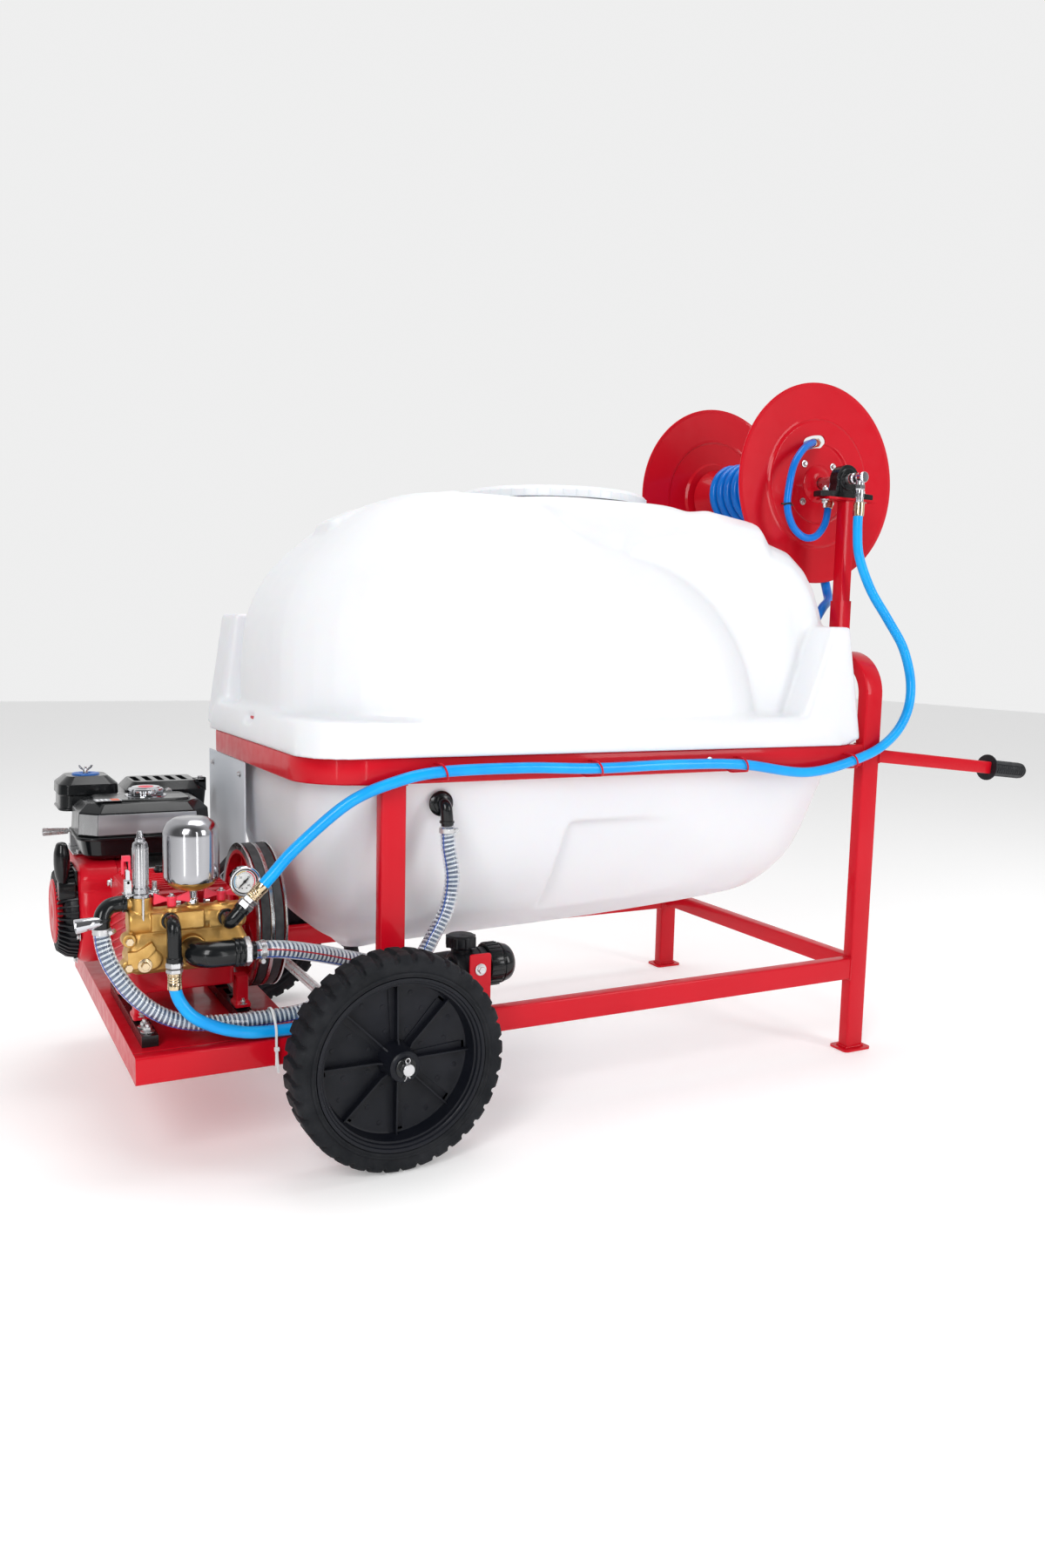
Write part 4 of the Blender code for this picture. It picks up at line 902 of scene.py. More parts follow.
def make_hub(side):
    """Moulded wheel centre: stepped rim, ribs with flat bands beside them, boss and ejector marks."""
    at, axis = (0, side * WHEEL_Y, AXLE_Z), "+Y" if side > 0 else "-Y"
    outer, inner = -0.006, -0.014
    profile = [
        (0.0115, 0.046), (0.0125, 0.048), (0.0255, 0.048), (0.0285, 0.0455), (0.0300, 0.030),
        (0.0320, 0.004), (0.0345, outer), (0.128, outer), (0.132, outer + 0.002), (0.1365, outer + 0.002),
        (0.1400, outer + 0.004), (0.1430, 0.018), (0.1440, 0.0265), (0.1475, 0.0275), (0.1485, 0.033),
        (0.1500, 0.0345), (0.1530, 0.0350), (0.1545, 0.0385), (0.1600, 0.0400), (0.1605, 0.0380),
        (0.1605, -0.0400), (0.1540, -0.0400), (0.1500, -0.034), (0.1440, inner - 0.004), (0.138, inner),
        (0.0345, inner), (0.0310, -0.022), (0.0290, -0.046), (0.0270, -0.048), (0.0115, -0.048),
    ]
    shapes = [lathe(profile, "+Z", (0, 0, 0), 96)]
    for k in range(8):
        turn = Matrix.Rotation(math.radians(45 * k), 4, "Z")
        rib = [(0.026, outer - 0.002), (0.1435, outer - 0.002), (0.1435, 0.0080), (0.040, 0.0105),
               (0.031, 0.016), (0.026, 0.034)]
        shapes.append(moved(prism(rib, 0.0032, "XZ", -0.0016), turn))
        band = [(0.030, 0.0012), (0.138, 0.0012), (0.138, 0.0155), (0.030, 0.0085)]
        shapes.append(moved(prism(band, 0.0026, "XY", outer - 0.0006), turn))
        back = [(0.026, inner + 0.002), (0.145, inner + 0.002), (0.145, -0.030), (0.026, -0.036)]
        shapes.append(moved(prism(back, 0.0036, "XZ", -0.0018), turn))
        for radius, angle, size in ((0.055, 20, 0.0045), (0.100, 14, 0.0050), (0.122, 31, 0.0045)):
            spot = Matrix.Rotation(math.radians(45 * k + angle), 4, "Z") @ Vector((radius, 0, 0))
            shapes.append(drum(size, "+Z", (spot.x, spot.y, outer - 0.001), 0.0017, 0.0004, 20))
    return [moved(s, facing(axis, at)) for s in shapes]


def make_wheels():
    for label, side in (("near", -1), ("far", 1)):
        body = "wheel_" + label
        piece("tyre_%s_tread" % label, body, "tyre", make_tyre(side),
              replaces="tyre_" + label, edge=0.0, sharp=40)
        piece("wheel_%s_centre" % label, body, "hub", *make_hub(side),
              replaces="wheel_hub_" + label, edge=0.0006, sharp=32)
        out = "+Y" if side > 0 else "-Y"
        piece("wheel_%s_washer" % label, "cart", "gloss",
              lathe([(0.0113, 0), (0.0185, 0), (0.0190, 0.0008), (0.0190, 0.0022), (0.0180, 0.0030),
                     (0.0113, 0.0030)],
                    out, (0, side * 0.5757, 0.2), 40))
        y = side * 0.5845
        eye = [(0.0042 * math.sin(a), y, 0.2155 + 0.0042 * math.cos(a))
               for a in [math.radians(t) for t in range(-155, 156, 14)]]
        legs = [(-0.0011, y, 0.212), (-0.0011, y, 0.189), (-0.0030, y, 0.183), (-0.0065, y, 0.179)]
        legs2 = [(0.0011, y, 0.212), (0.0011, y, 0.189), (0.0026, y, 0.185), (0.0048, y, 0.1835)]
        piece("wheel_%s_cotter" % label, "cart", "steel", pipe(eye, 0.0011, 8),
              pipe(smooth_run(legs, 0.002), 0.0011, 8), pipe(smooth_run(legs2, 0.002), 0.0011, 8))


# Tank

LOWER = [
    (0.276, 0.070, 0.130, 0.040, 0.030), (0.288, 0.060, 0.190, 0.066, 0.050),
    (0.300, 0.045, 0.300, 0.100, 0.080),
    (0.330, 0.000, 0.700, 0.170, 0.120), (0.365, -0.035, 1.030, 0.225, 0.150),
    (0.400, -0.055, 1.110, 0.265, 0.150),
    (0.480, -0.082, 1.165, 0.310, 0.150), (0.600, -0.096, 1.185, 0.350, 0.140),
    (0.680, -0.0970, 1.190, 0.3745, 0.130),
    (0.760, -0.0970, 1.190, 0.3745, 0.130),
]
SKIRT = [(0.7343, -0.133, 1.1985, 0.425, 0.100), (0.752, -0.132, 1.197, 0.4242, 0.102),
         (0.770, -0.130, 1.194, 0.422, 0.105), (0.800, -0.122, 1.180, 0.410, 0.115)]
DOME = [
    (0.745, -0.110, 0.960, 0.405, 0.130), (0.900, -0.108, 0.930, 0.402, 0.150),
    (1.000, -0.096, 0.885, 0.388, 0.160),
    (1.080, -0.058, 0.830, 0.362, 0.180), (1.140, -0.005, 0.770, 0.325, 0.190),
    (1.190, 0.055, 0.710, 0.275, 0.190),
    (1.230, 0.120, 0.690, 0.225, 0.190), (1.260, 0.200, 0.660, 0.170, 0.165),
]
END = [
    (0.745, 0.500, 1.125, 0.345, 0.090), (1.000, 0.500, 1.120, 0.335, 0.110),
    (1.080, 0.500, 1.105, 0.330, 0.120),
    (1.150, 0.450, 1.045, 0.320, 0.130), (1.190, 0.420, 0.955, 0.310, 0.140),
    (1.235, 0.400, 0.900, 0.280, 0.150),
    (1.260, 0.380, 0.840, 0.240, 0.160),
]
LEFT_DOME = [(z, x0, 0.520, half, 0.75 * half) for z, x0, x1, half, r in DOME]
CHEEK = [(0.560, 0.800), (0.560, 1.200), (0.665, 1.232), (0.842, 1.253), (0.967, 1.235), (0.995, 1.195),
         (1.058, 1.177), (1.107, 1.139), (1.137, 1.098), (1.160, 1.046), (1.174, 1.000), (1.180, 0.800)]
CREST = [(0.0185, 1.152), (0.034, 1.1935), (0.098, 1.2245), (0.143, 1.238), (0.1825, 1.2555),
         (0.3225, 1.2785), (0.3305, 1.2775), (0.3475, 1.255), (0.3475, 1.100), (0.060, 1.060)]
MOUTH_X = 0.585
STRAINER_R = 0.14
LID_AT = (MOUTH_X, 0, 1.2645)


def symmetric(sections, between=3):
    return loft([(z, x0, x1, -half, half, r) for z, x0, x1, half, r in sections], 9, between)


def wedge(corners, depth):
    """A cutter between four points on a wall and the same points moved outwards in Y."""
    inner = [Vector(c) for c in corners]
    points = inner + [p + Vector((0, depth, 0)) for p in inner]
    return np.array(points), [(0, 1, 2, 3), (4, 5, 6, 7), (0, 1, 5, 4), (1, 2, 6, 5), (2, 3, 7, 6),
                              (3, 0, 4, 7)]


def make_tank():
    inner_dome = [(z, x0 + 0.12, x1, half, r) for z, x0, x1, half, r in DOME]
    adds = [symmetric(LOWER), symmetric(SKIRT, 1), symmetric(inner_dome), symmetric(LEFT_DOME),
            symmetric(END)]
    adds.append(prism(CREST, 0.100, "XZ", -0.050))
    middle = Vector((0.800, 0.900))
    for side in (-1, 1):
        levels = [(side * y, [tuple(middle + (Vector(p) - middle) * scale) for p in CHEEK])
                  for y, scale in ((0.216, 1.0), (0.252, 1.0), (0.285, 0.970), (0.312, 0.920),
                                   (0.330, 0.850))]
        adds.append(stacked(levels, "Y"))
    for low0, low1, top0, top1, y0, y1 in (
        (0.990, 1.190, 1.092, 1.150, -0.420, -0.290), (0.990, 1.190, 1.092, 1.150, 0.290, 0.420),
        (-0.125, 0.060, -0.088, 0.020, 0.290, 0.420),
    ):
        adds.append(loft([(0.745, low0, low1, y0, y1, 0.025),
                          (1.002, top0, top1, y0 * 0.97 if y0 < 0 else y0, y1 * 0.97 if y1 > 0 else y1,
                           0.020)], 4))
    cuts = [
        lathe([(0, 0), (0.155, 0), (0.155, 0.3), (0, 0.3)], "+Z", (MOUTH_X, 0, 1.125), 64),
        wedge([(0.457, -0.322, 0.581), (0.840, -0.352, 0.581), (0.860, -0.262, 0.374),
               (0.430, -0.236, 0.374)], -0.2),
        block((-0.160, -0.026, 0.772), (-0.112, 0.040, 0.792)),
    ]
    piece("tank_shell", "cart", "white", carved(adds, cuts), replaces="tank",
          remesh=0.0068, soften=5)
    piece("tank_slot_inset", "cart", "cast_paint",
          prism(rectangle(-0.030, 0.044, 0.768, 0.796, 0.004), 0.004, "YZ", -0.1160))
    at = LID_AT
    profile = [(0, 0.0235), (0.030, 0.0235), (0.034, 0.0215), (0.120, 0.0215), (0.126, 0.0245),
               (0.150, 0.0255), (0.156, 0.0225), (0.190, 0.0225), (0.198, 0.0255), (0.210, 0.0225),
               (0.2175, 0.0150), (0.2180, 0.0), (0.200, 0.0), (0.198, 0.010), (0, 0.010)]
    ribs = around(block((0.2140, -0.0025, 0.001), (0.2180, 0.0025, 0.0165)), 48, Matrix.Translation(at))
    ribs += around(block((0.032, -0.003, 0.020), (0.122, 0.003, 0.0245)), 6, Matrix.Translation(at), 12)
    piece("tank_lid_cap", "tank_lid", "white", lathe(profile, "+Z", at, 96), *ribs,
          replaces="tank_lid", edge=0.0012)
    wires = []
    for k in range(56):
        x, y = polar(0.141, 360 * k / 56, MOUTH_X)
        wires.append(moved(block((-0.0012, -0.0012, 0), (0.0012, 0.0012, 0.118)),
                           Matrix.Translation((x, y, 1.1400))))
    hoops = [lathe([(0.1395, z), (0.1425, z), (0.1425, z + 0.003), (0.1395, z + 0.003)], "+Z",
                   (MOUTH_X, 0, 0), 72)
             for z in (1.141, 1.165, 1.189, 1.213, 1.237)]
    floor_bars = [block((MOUTH_X - math.sqrt(STRAINER_R ** 2 - y * y), y - 0.0012, 1.1405),
                        (MOUTH_X + math.sqrt(STRAINER_R ** 2 - y * y), y + 0.0012, 1.1430))
                  for y in [-0.126 + 0.018 * i for i in range(15)]]
    flange = lathe([(0.139, 1.2603), (0.170, 1.2603), (0.170, 1.2637), (0.139, 1.2637)], "+Z",
                   (MOUTH_X, 0, 0), 72)
    piece("strainer_cage", "cart", "black", flange, *wires, *hoops, *floor_bars,
          replaces="strainer_basket")


# Hose reel

def make_reel():
    for label, side in (("near", -1), ("far", 1)):
        axis = "+Y" if side > 0 else "-Y"
        curl = [(0.2325, 0.0046), (0.2345, 0.0036), (0.2350, 0.0020), (0.2345, 0.0004), (0.2325, -0.0004)]
        profile = held([
            (0.0128, 0.0040), (0.0900, 0.0040), (0.0925, 0.0052), (0.0950, 0.0084), (0.0975, 0.0092),
            (0.1440, 0.0092), (0.1475, 0.0080), (0.1515, 0.0046), (0.156, 0.0040), (0.226, 0.0040),
            *curl, (0.226, 0.0005), (0.156, 0.0005), (0.150, 0.0012), (0.146, 0.0048), (0.097, 0.0055),
            (0.091, 0.0008), (0.0128, 0.0005),
        ])
        face = lathe(profile, axis, (REEL.x, side * DISC_Y, REEL.z), 112)
        shapes = [face]
        if side < 0:
            ends = [arc(*polar(0.0985, a, REEL.x, REEL.z), 0.0145, a + turn, a + turn + 180, 10)
                    for a, turn in ((114, 0), (91, 180))]
            kidney = (arc(REEL.x, REEL.z, 0.1130, 93, 112, 6) + ends[0] + arc(REEL.x, REEL.z, 0.084, 112, 93,
                                                                              6) + ends[1])
            slot = prism(kidney, 0.05, "XZ", -0.225)
            shapes = [carved([face], [slot])]
        hub = lathe(rounded([(0.0132, 0.004), (0.046, 0.004), (0.040, 0.009), (0.030, 0.015), (0.022, 0.017),
                             (0.0132, 0.017)],
                            0.003, 4, True), axis, (REEL.x, side * DISC_Y, REEL.z), 48)
        piece("reel_disc_%s_pressing" % label, "reel", "paint", *shapes, hub,
              replaces="reel_disc_" + label, sharp=28)
        screws = []
        for k in range(4):
            x, z = polar(0.062, 45 + 90 * k, REEL.x, REEL.z)
            screws += bolt((x, side * (DISC_Y + 0.0040), z), axis, 0.009)
        piece("reel_disc_%s_screws" % label, "reel", "steel", *screws, edge=0.0003)

    end = DISC_Y - 0.0003
    drum_profile = rounded([(0.0125, 0.352), (0.0125, end - 0.004), (0.074, end - 0.004),
                            (0.076, end - 0.006), (0.038, 0.145), (0.038, -0.145), (0.076, -end + 0.006),
                            (0.074, -end + 0.004), (0.0125, -end + 0.004), (0.0125, -0.322)], 0.002, 2)
    piece("reel_drum_spool", "reel", "paint",
          lathe([(0, 0.352), *drum_profile, (0, -0.322)], "+Y", REEL, 56), replaces="reel_drum")
    shaft = [drum(0.0126, "+Y", (REEL.x, y0, REEL.z), y1 - y0, 0.001, 32)
             for y0, y1 in ((-0.322, -0.2055), (0.2055, 0.352))]
    piece("reel_shaft_ends", "reel", "steel", *shaft)

    inner, outer, slot_radius, per_turn, leave = 0.0495, 0.0700, 0.0960, 28, 230 / 360
    turns = []

    def lay(radius, y, turn):
        wobble = 0.0007 * math.sin(len(turns) * 0.11 + radius * 90)
        a = 2 * math.pi * turn
        turns.append(REEL + Vector(((radius + wobble) * math.cos(a), y, (radius + wobble) * math.sin(a))))

    for i in range(20):
        radius = slot_radius + (inner - slot_radius) * i / 20
        lay(radius, -0.1980 + 0.0675 * i / 20, 97 / 360 + 263 / 360 * i / 20)
    for i in range(12 * per_turn):
        lay(inner, -0.1305 + 0.261 * i / (12 * per_turn), i / per_turn)
    last = round((8 + leave) * per_turn)
    for i in range(last + 1):
        lift = min(1.0, i / 7)
        lay(inner + (outer - inner) * lift * lift * (3 - 2 * lift), 0.1305 - 0.2555 * i / last, i / per_turn)
    turns.append(Vector((1.1870, -0.1250, 1.2690)))
    turns.append(Vector((1.2145, -0.1252, 1.2500)))
    piece("hose_winding", "reel", "deep_blue_hose", pipe(turns, 0.0109, 12),
          slot="spray_hose", replaces="hose_on_reel", sharp=60)

    y = 0.3523
    arm = prism(rounded([(-0.016 + REEL.x, REEL.z - 0.150), (0.016 + REEL.x, REEL.z - 0.150),
                         (0.016 + REEL.x, REEL.z + 0.020), (-0.016 + REEL.x, REEL.z + 0.020)], 0.012, 5,
                         True),
                0.008, "XZ", y)
    nut = bolt((REEL.x, y + 0.008, REEL.z), "+Y", 0.020)
    piece("reel_crank_arm", "reel", "paint", arm, replaces="reel_crank", edge=0.001)
    piece("reel_crank_nut", "reel", "steel", *nut,
          drum(0.006, "+Y", (REEL.x, y + 0.006, REEL.z - 0.132), 0.094, 0.001))
    handle = lathe(rounded([(0.0065, 0.006), (0.0125, 0.006), (0.0140, 0.020), (0.0115, 0.050),
                            (0.0138, 0.080), (0.0100, 0.091), (0.0065, 0.091)], 0.003, 4, True), "+Y",
                            (REEL.x, y + 0.006, REEL.z - 0.132), 32)
    piece("reel_crank_knob", "reel", "black", handle)

    for label, side in (("near", -1), ("far", 1)):
        at = (1.210, side * 0.295)
        socket = beam((at[0] - 0.0175, at[1] - 0.0175, 0.9473), (at[0] + 0.0175, at[1] + 0.0175, 1.065),
                      0.0025)
        inner = beam((at[0] - 0.0150, at[1] - 0.0150, 1.060), (at[0] + 0.0150, at[1] + 0.0150, 1.297), 0.0025)
        plate = block((at[0] - 0.072, at[1] - 0.022, 1.296), (at[0] + 0.072, at[1] + 0.022, 1.301))
        welds = [weld_around((at[0], at[1], 0.9482), "Z", 0.0175, 0.0175, 0.0024),
                 weld_around((at[0], at[1], 1.2952), "Z", 0.0150, 0.0150, 0.0018)]
        piece("reel_post_%s_tube" % label, shapes=[socket, inner, plate, *welds],
              replaces="reel_post_" + label,
              edge=0.0008, **PAINT)
        pin = []
        low = 1.3013
        cap = (
            [(REEL.x - 0.080, low), (REEL.x + 0.080, low), (REEL.x + 0.080, low + 0.013),
             (REEL.x + 0.036, low + 0.015)]
            + arc(REEL.x, REEL.z, 0.0335, -20, 200, 20)
            + [(REEL.x - 0.036, low + 0.015), (REEL.x - 0.080, low + 0.013)]
        )
        y = side * 0.295
        body = prism(cap, 0.026, "XZ", y - 0.013)
        collar = lathe([(0.0130, -0.017), (0.024, -0.017), (0.0260, -0.014), (0.0260, 0.014), (0.024, 0.017),
                        (0.0130, 0.017)],
                       "+Y", (REEL.x, y, REEL.z), 40)
        web = [block((REEL.x + s * (0.030 - 0.009 * i) - 0.0012, y - 0.0142, low + 0.012),
                     (REEL.x + s * (0.030 - 0.009 * i) + 0.0012, y + 0.0142, low + 0.030 + 0.011 * i))
               for s in (-1, 1) for i in range(3)]
        piece("bearing_%s_block" % label, "cart", "gloss", body, collar, *web,
              replaces="bearing_" + label, edge=0.0012)
        for s in (-1, 1):
            pin += bolt((REEL.x + s * 0.057, y, low + 0.0125), "+Z", 0.012, shank=0.004)
            pin += bolt((REEL.x + s * 0.057, y, 1.2962), "-Z", 0.012, shank=0.010)
        piece("reel_post_%s_bolts" % label, "cart", "steel", *pin, edge=0.0003)

    y = -0.3223
    body = rounded([(0, 0), (0.0128, 0), (0.0128, 0.008), (0.0105, 0.010), (0.0105, 0.034), (0.0128, 0.036),
                    (0.0118, 0.0397), (0, 0.0397)], 0.001, 3)
    swivel = [lathe(body, "-Y", (REEL.x, y, REEL.z), 36),
              hexagon(0.0215, "-Y", (REEL.x, y - 0.012, REEL.z), 0.012)]
    drop_at = (REEL.x + 0.001, y - 0.024, REEL.z)
    drop = rounded([(0, 0), (0.0098, 0), (0.0098, 0.062), (0, 0.062)], 0.001, 2)
    swivel += [lathe(drop, "-Z", drop_at, 32),
               hexagon(0.0205, "-Z", (REEL.x + 0.001, y - 0.024, REEL.z - 0.016), 0.013),
               hexagon(0.0190, "-Z", (REEL.x + 0.001, y - 0.024, REEL.z - 0.036), 0.010)]
    piece("reel_swivel_union", "cart", "chrome", *swivel, replaces="reel_swivel", edge=0.0004)
    tail = Vector((REEL.x + 0.001, y - 0.024, 1.288))
    ferrule = [lathe([(0.0112, 0), (0.0126, 0.001), (0.0130, 0.004), (0.0126, 0.014), (0.0130, 0.018),
                      (0.0126, 0.030), (0.0112, 0.031)], "-Z", tail, 36)]
    piece("reel_swivel_ferrule", "cart", "ferrule", *ferrule, slot="chrome")
    for name, at, axis in (("in", Vector((1.188, -0.2046, 1.4390)), Vector((-0.84, -0.523, -0.148))),
                           ("out", Vector((1.1866, -0.2620, 1.3040)), Vector((-0.19, -0.10, -0.97)))):
        shapes = [lathe([(0.0087, 0.002), (0.0102, 0.003), (0.0106, 0.010), (0.0102, 0.024), (0.0087, 0.025)],
                        axis, at, 28),
                  hexagon(0.0195, axis, at - axis.normalized() * 0.005, 0.010)]
        if name == "out":
            shapes.append(hexagon(0.0185, axis, at - axis.normalized() * 0.018, 0.009))
        piece("feed_loop_ferrule_" + name, "reel", "ferrule", *shapes, slot="chrome")
    elbow = smooth_route([(1.1905, -0.2600, 1.326), (1.1925, -0.2590, 1.334), (1.196, -0.257, 1.341),
                          (1.200, -0.2565, 1.344)], 0.002)
    piece("feed_loop_elbow", "reel", "chrome", pipe(elbow, 0.0075, 20))
    band = lathe([(0.0086, 0), (0.0098, 0.0004), (0.0098, 0.0044), (0.0086, 0.0048)],
                 Vector((0, -0.3, -1)), (1.0625, -0.2615, 1.283), 28)
    piece("feed_loop_tie", "reel", "black", band, block((1.0440, -0.2655, 1.2800), (1.0565, -0.2605, 1.2840)),
          block((1.0690, -0.2655, 1.2790), (1.0770, -0.2620, 1.2812)))


make_chassis()
make_wheels()
make_tank()
make_reel()


# Engine

def shrunk(outline, centre, amount):
    """An outline drawn in towards a centre by about an amount."""
    made = []
    for p in outline:
        away = Vector(p) - Vector(centre)
        made.append(tuple(Vector(centre) + away * (1 - amount / max(away.length, 0.001))))
    return made


def make_engine():
    cy, cz = CRANK_AXIS
    outline = rounded(
        arc(cy, cz, 0.112, 150, 345, 36) + [(cy + 0.150, 0.400), (cy + 0.190, 0.470), (cy + 0.130, 0.484),
                                            (cy - 0.080, 0.484), (cy - 0.108, 0.455)], 0.016, 4, True)
    middle = (cy + 0.02, cz + 0.01)
    levels = [(x, shrunk(outline, middle, d)) for x, d in (
        (-0.4652, 0.020), (-0.4645, 0.012), (-0.4610, 0.005), (-0.4540, 0.001), (-0.4460, 0.0),
        (-0.3900, 0.0), (-0.3890, 0.003), (-0.3800, 0.003), (-0.3790, 0.0), (-0.3702, 0.0))]
    piece("engine_shroud_pressing", "cart", "cast_paint", stacked(levels),
          replaces="engine_shroud", edge=0.0010, sharp=40)
    screws = []
    for a in (200, 250, 300, 345):
        screws += bolt((-0.4650, *polar(0.104, a, cy, cz)), "-X", 0.009)
    piece("engine_shroud_screws", "cart", "steel", *screws, edge=0.0003)

    tilt = Matrix.Translation((-0.300, 0.290, 0.440)) @ Matrix.Rotation(math.radians(25), 4, "X")
    block_shapes = [
        moved(loft([(0, -0.066, 0.066, -0.1085, 0.1085, 0.02), (0.195, -0.066, 0.066, -0.1085, 0.1085, 0.02),
                    (0.207, -0.055, 0.055, -0.098, 0.098, 0.02)], 5),
                    Matrix.Translation((-0.302, 0.145, 0.2625))),
        block((-0.3690, 0.045, 0.2253), (-0.240, 0.245, 0.270)),
        lathe([(0, 0), (0.088, 0), (0.088, 0.005), (0.070, 0.010), (0.040, 0.012), (0.034, 0.018),
               (0.022, 0.018), (0, 0.018)],
              "+X", (-0.2385, cy, cz), 64),
        moved(block((-0.045, -0.060, -0.042), (0.045, 0.066, 0.042)), tilt),
        moved(block((-0.056, 0.062, -0.050), (0.056, 0.080, 0.050)), tilt),
    ]
    for i in range(10):
        y = -0.030 + i * 0.0095
        block_shapes.append(moved(block((-0.060, y, -0.055), (0.060, y + 0.0026, 0.055)), tilt))
    piece("engine_block_casting", "cart", "alloy", *block_shapes, replaces="engine_block", edge=0.0010)
    bolts = []
    for x in (-0.352, -0.258):
        for y in (0.058, 0.232):
            bolts += bolt((x, y, 0.2700), "+Z", 0.012)
    for a in range(0, 360, 60):
        bolts += bolt((-0.2345, *polar(0.079, a, cy, cz)), "+X", 0.010)
    bolts += bolt((-0.300, 0.0345, 0.262 + 0.022), "-Y", 0.014)
    piece("engine_bolts", "cart", "steel", *bolts, edge=0.0003)
    boot = smooth_route([(-0.300, 0.372, 0.478), (-0.300, 0.392, 0.487), (-0.300, 0.398, 0.500),
                         (-0.325, 0.390, 0.508), (-0.365, 0.350, 0.505), (-0.385, 0.300, 0.490)], 0.004)
    piece("spark_plug_lead", "cart", "gloss", pipe(boot, lambda i: 0.0085 if i < 8 else 0.0035, 12),
          drum(0.012, "-Y", (-0.265, 0.036, 0.330), 0.016, 0.002, 32, 4))

    cover = rounded([(0, 0.030), (0.060, 0.030), (0.066, 0.029), (0.069, 0.026), (0.084, 0.024),
                     (0.094, 0.016), (0.0975, 0), (0, 0)], 0.003, 3)
    rib = [(0.064, 0.026), (0.064, 0.0395), (0.083, 0.0375), (0.0965, 0.0200), (0.1010, 0.0005),
           (0.092, 0.0005)]
    shapes = [lathe(cover, "-X", (-0.4655, cy, cz), 72),
              *around(prism(rib, 0.0042, "XZ", -0.0021), 44, facing("-X", (-0.4655, cy, cz)))]
    piece("recoil_cover_cage", "cart", "black", *shapes, replaces="recoil_cover", edge=0.0006)
    disc_profile = [(0, 0.0405), (0.012, 0.0405), (0.016, 0.0425), (0.044, 0.0425), (0.048, 0.0405),
                    (0.056, 0.0405), (0.060, 0.0425), (0.0655, 0.0415), (0.0680, 0.0380), (0.0680, 0.028),
                    (0, 0.028)]
    piece("recoil_cover_disc", "cart", "cast_paint", lathe(disc_profile, "-X", (-0.4655, cy, cz), 72))
    guide = stacked([(x, rectangle(0.046, 0.078, 0.412, 0.448, 0.008)) for x in (-0.503, -0.470)])
    arm = block((-0.4700, 0.055, 0.440), (-0.4645, 0.130, 0.470))
    piece("recoil_guide", "cart", "gloss", guide, arm, edge=0.002)
    grip = rounded([(0, 0.092), (0.0095, 0.090), (0.0150, 0.072), (0.0160, 0.046), (0.0130, 0.020),
                    (0.0070, 0.004), (0, 0.0)],
                   0.012, 5)
    piece("recoil_grip_handle", "recoil_grip", "gloss",
          moved(lathe(grip, "+Z", (0, 0, 0), 40),
                Matrix.Translation((-0.4945, 0.060, 0.4390)) @ Matrix.Diagonal((1, 1.35, 1, 1))),
          replaces="recoil_grip")

    x0, x1, y0, y1 = -0.460, -0.190, 0.050, 0.238

    def level(z, grow, radius):
        return (z, x0 - grow, x1 + grow, y0 - grow, y1 + grow, radius)

    bottom = loft([level(0.4850, -0.034, 0.020), level(0.4862, -0.028, 0.024), level(0.4900, -0.018, 0.030),
                   level(0.4970, -0.010, 0.034), level(0.5300, -0.005, 0.036)], 6)
    seam = loft([level(0.5296, 0.001, 0.039), level(0.5304, 0.004, 0.040), level(0.5356, 0.004, 0.040),
                 level(0.5364, 0.001, 0.039)], 6)
    top = loft([level(0.5362, -0.001, 0.038), level(0.5840, -0.004, 0.036), level(0.6000, -0.020, 0.030),
                level(0.6030, -0.024, 0.028)], 1)
    lid = loft([level(0.6028, -0.036, 0.022), level(0.6075, -0.040, 0.020)], 2)
    piece("fuel_tank_body", "cart", "gloss", bottom, seam, top, lid, slot="black_metal", replaces="fuel_tank",
          edge=0.0018, sharp=30)
    low, high = 0.5405, 0.5822
    low_y, high_y = [y0 + (z - 0.5362) / 0.0478 * 0.003 for z in (low, high)]
    front = [(-0.425, low_y, low), (-0.224, low_y, low), (-0.226, high_y, high), (-0.423, high_y, high)]
    back = [(x, y + 0.004, z) for x, y, z in front]
    slab = (np.array(front + back),
            [(0, 1, 2, 3), (7, 6, 5, 4), (0, 4, 5, 1), (1, 5, 6, 2), (2, 6, 7, 3), (3, 7, 4, 0)])
    corner_front = [(-0.4585, y0 + 0.034, low), (-0.4265, y0 + 0.0005, low), (-0.4250, y0 + 0.003, high),
                    (-0.4555, y0 + 0.0355, high)]
    inset = Vector((0.7, 0.7, 0)) * 0.004
    corner_back = [tuple(Vector(p) + inset) for p in corner_front]
    facet = (np.array(corner_front + corner_back), slab[1])
    # The panel's dark-to-silver tone patches are painted reflection.
    piece("fuel_tank_panel", "cart", "panel", slab, slot="black_metal", edge=0.0008)
    piece("fuel_tank_corner", "cart", "satin", moved(facet, Matrix.Translation((-0.0004, -0.0004, 0))),
          slot="black_metal", edge=0.0006)
    piece("fuel_tank_label", "cart", "label_grey", block((-0.424, 0.078, 0.6074), (-0.372, 0.112, 0.6080)),
          slot="black_metal", edge=0.0002)
    piece("fuel_tank_label_mark", "cart", "label_orange",
          block((-0.392, 0.081, 0.6079), (-0.376, 0.109, 0.6083)),
          slot="black_metal")
    piece("fuel_tank_label_bars", "cart", "tie_white",
          *[block((-0.421 + 0.009 * i, 0.082, 0.6079), (-0.417 + 0.009 * i, 0.108, 0.6083))
          for i in range(3)], slot="black_metal")
    steps = 160
    rings = [(0.0333, 0.0), (0.0365, 0.0015), (0.0370, 0.004), (0.0370, 0.0115), (0.0350, 0.0145),
             (0.0300, 0.0160), (0.0285, 0.0180), (0.0240, 0.0180)]
    points = []
    for k in range(steps):
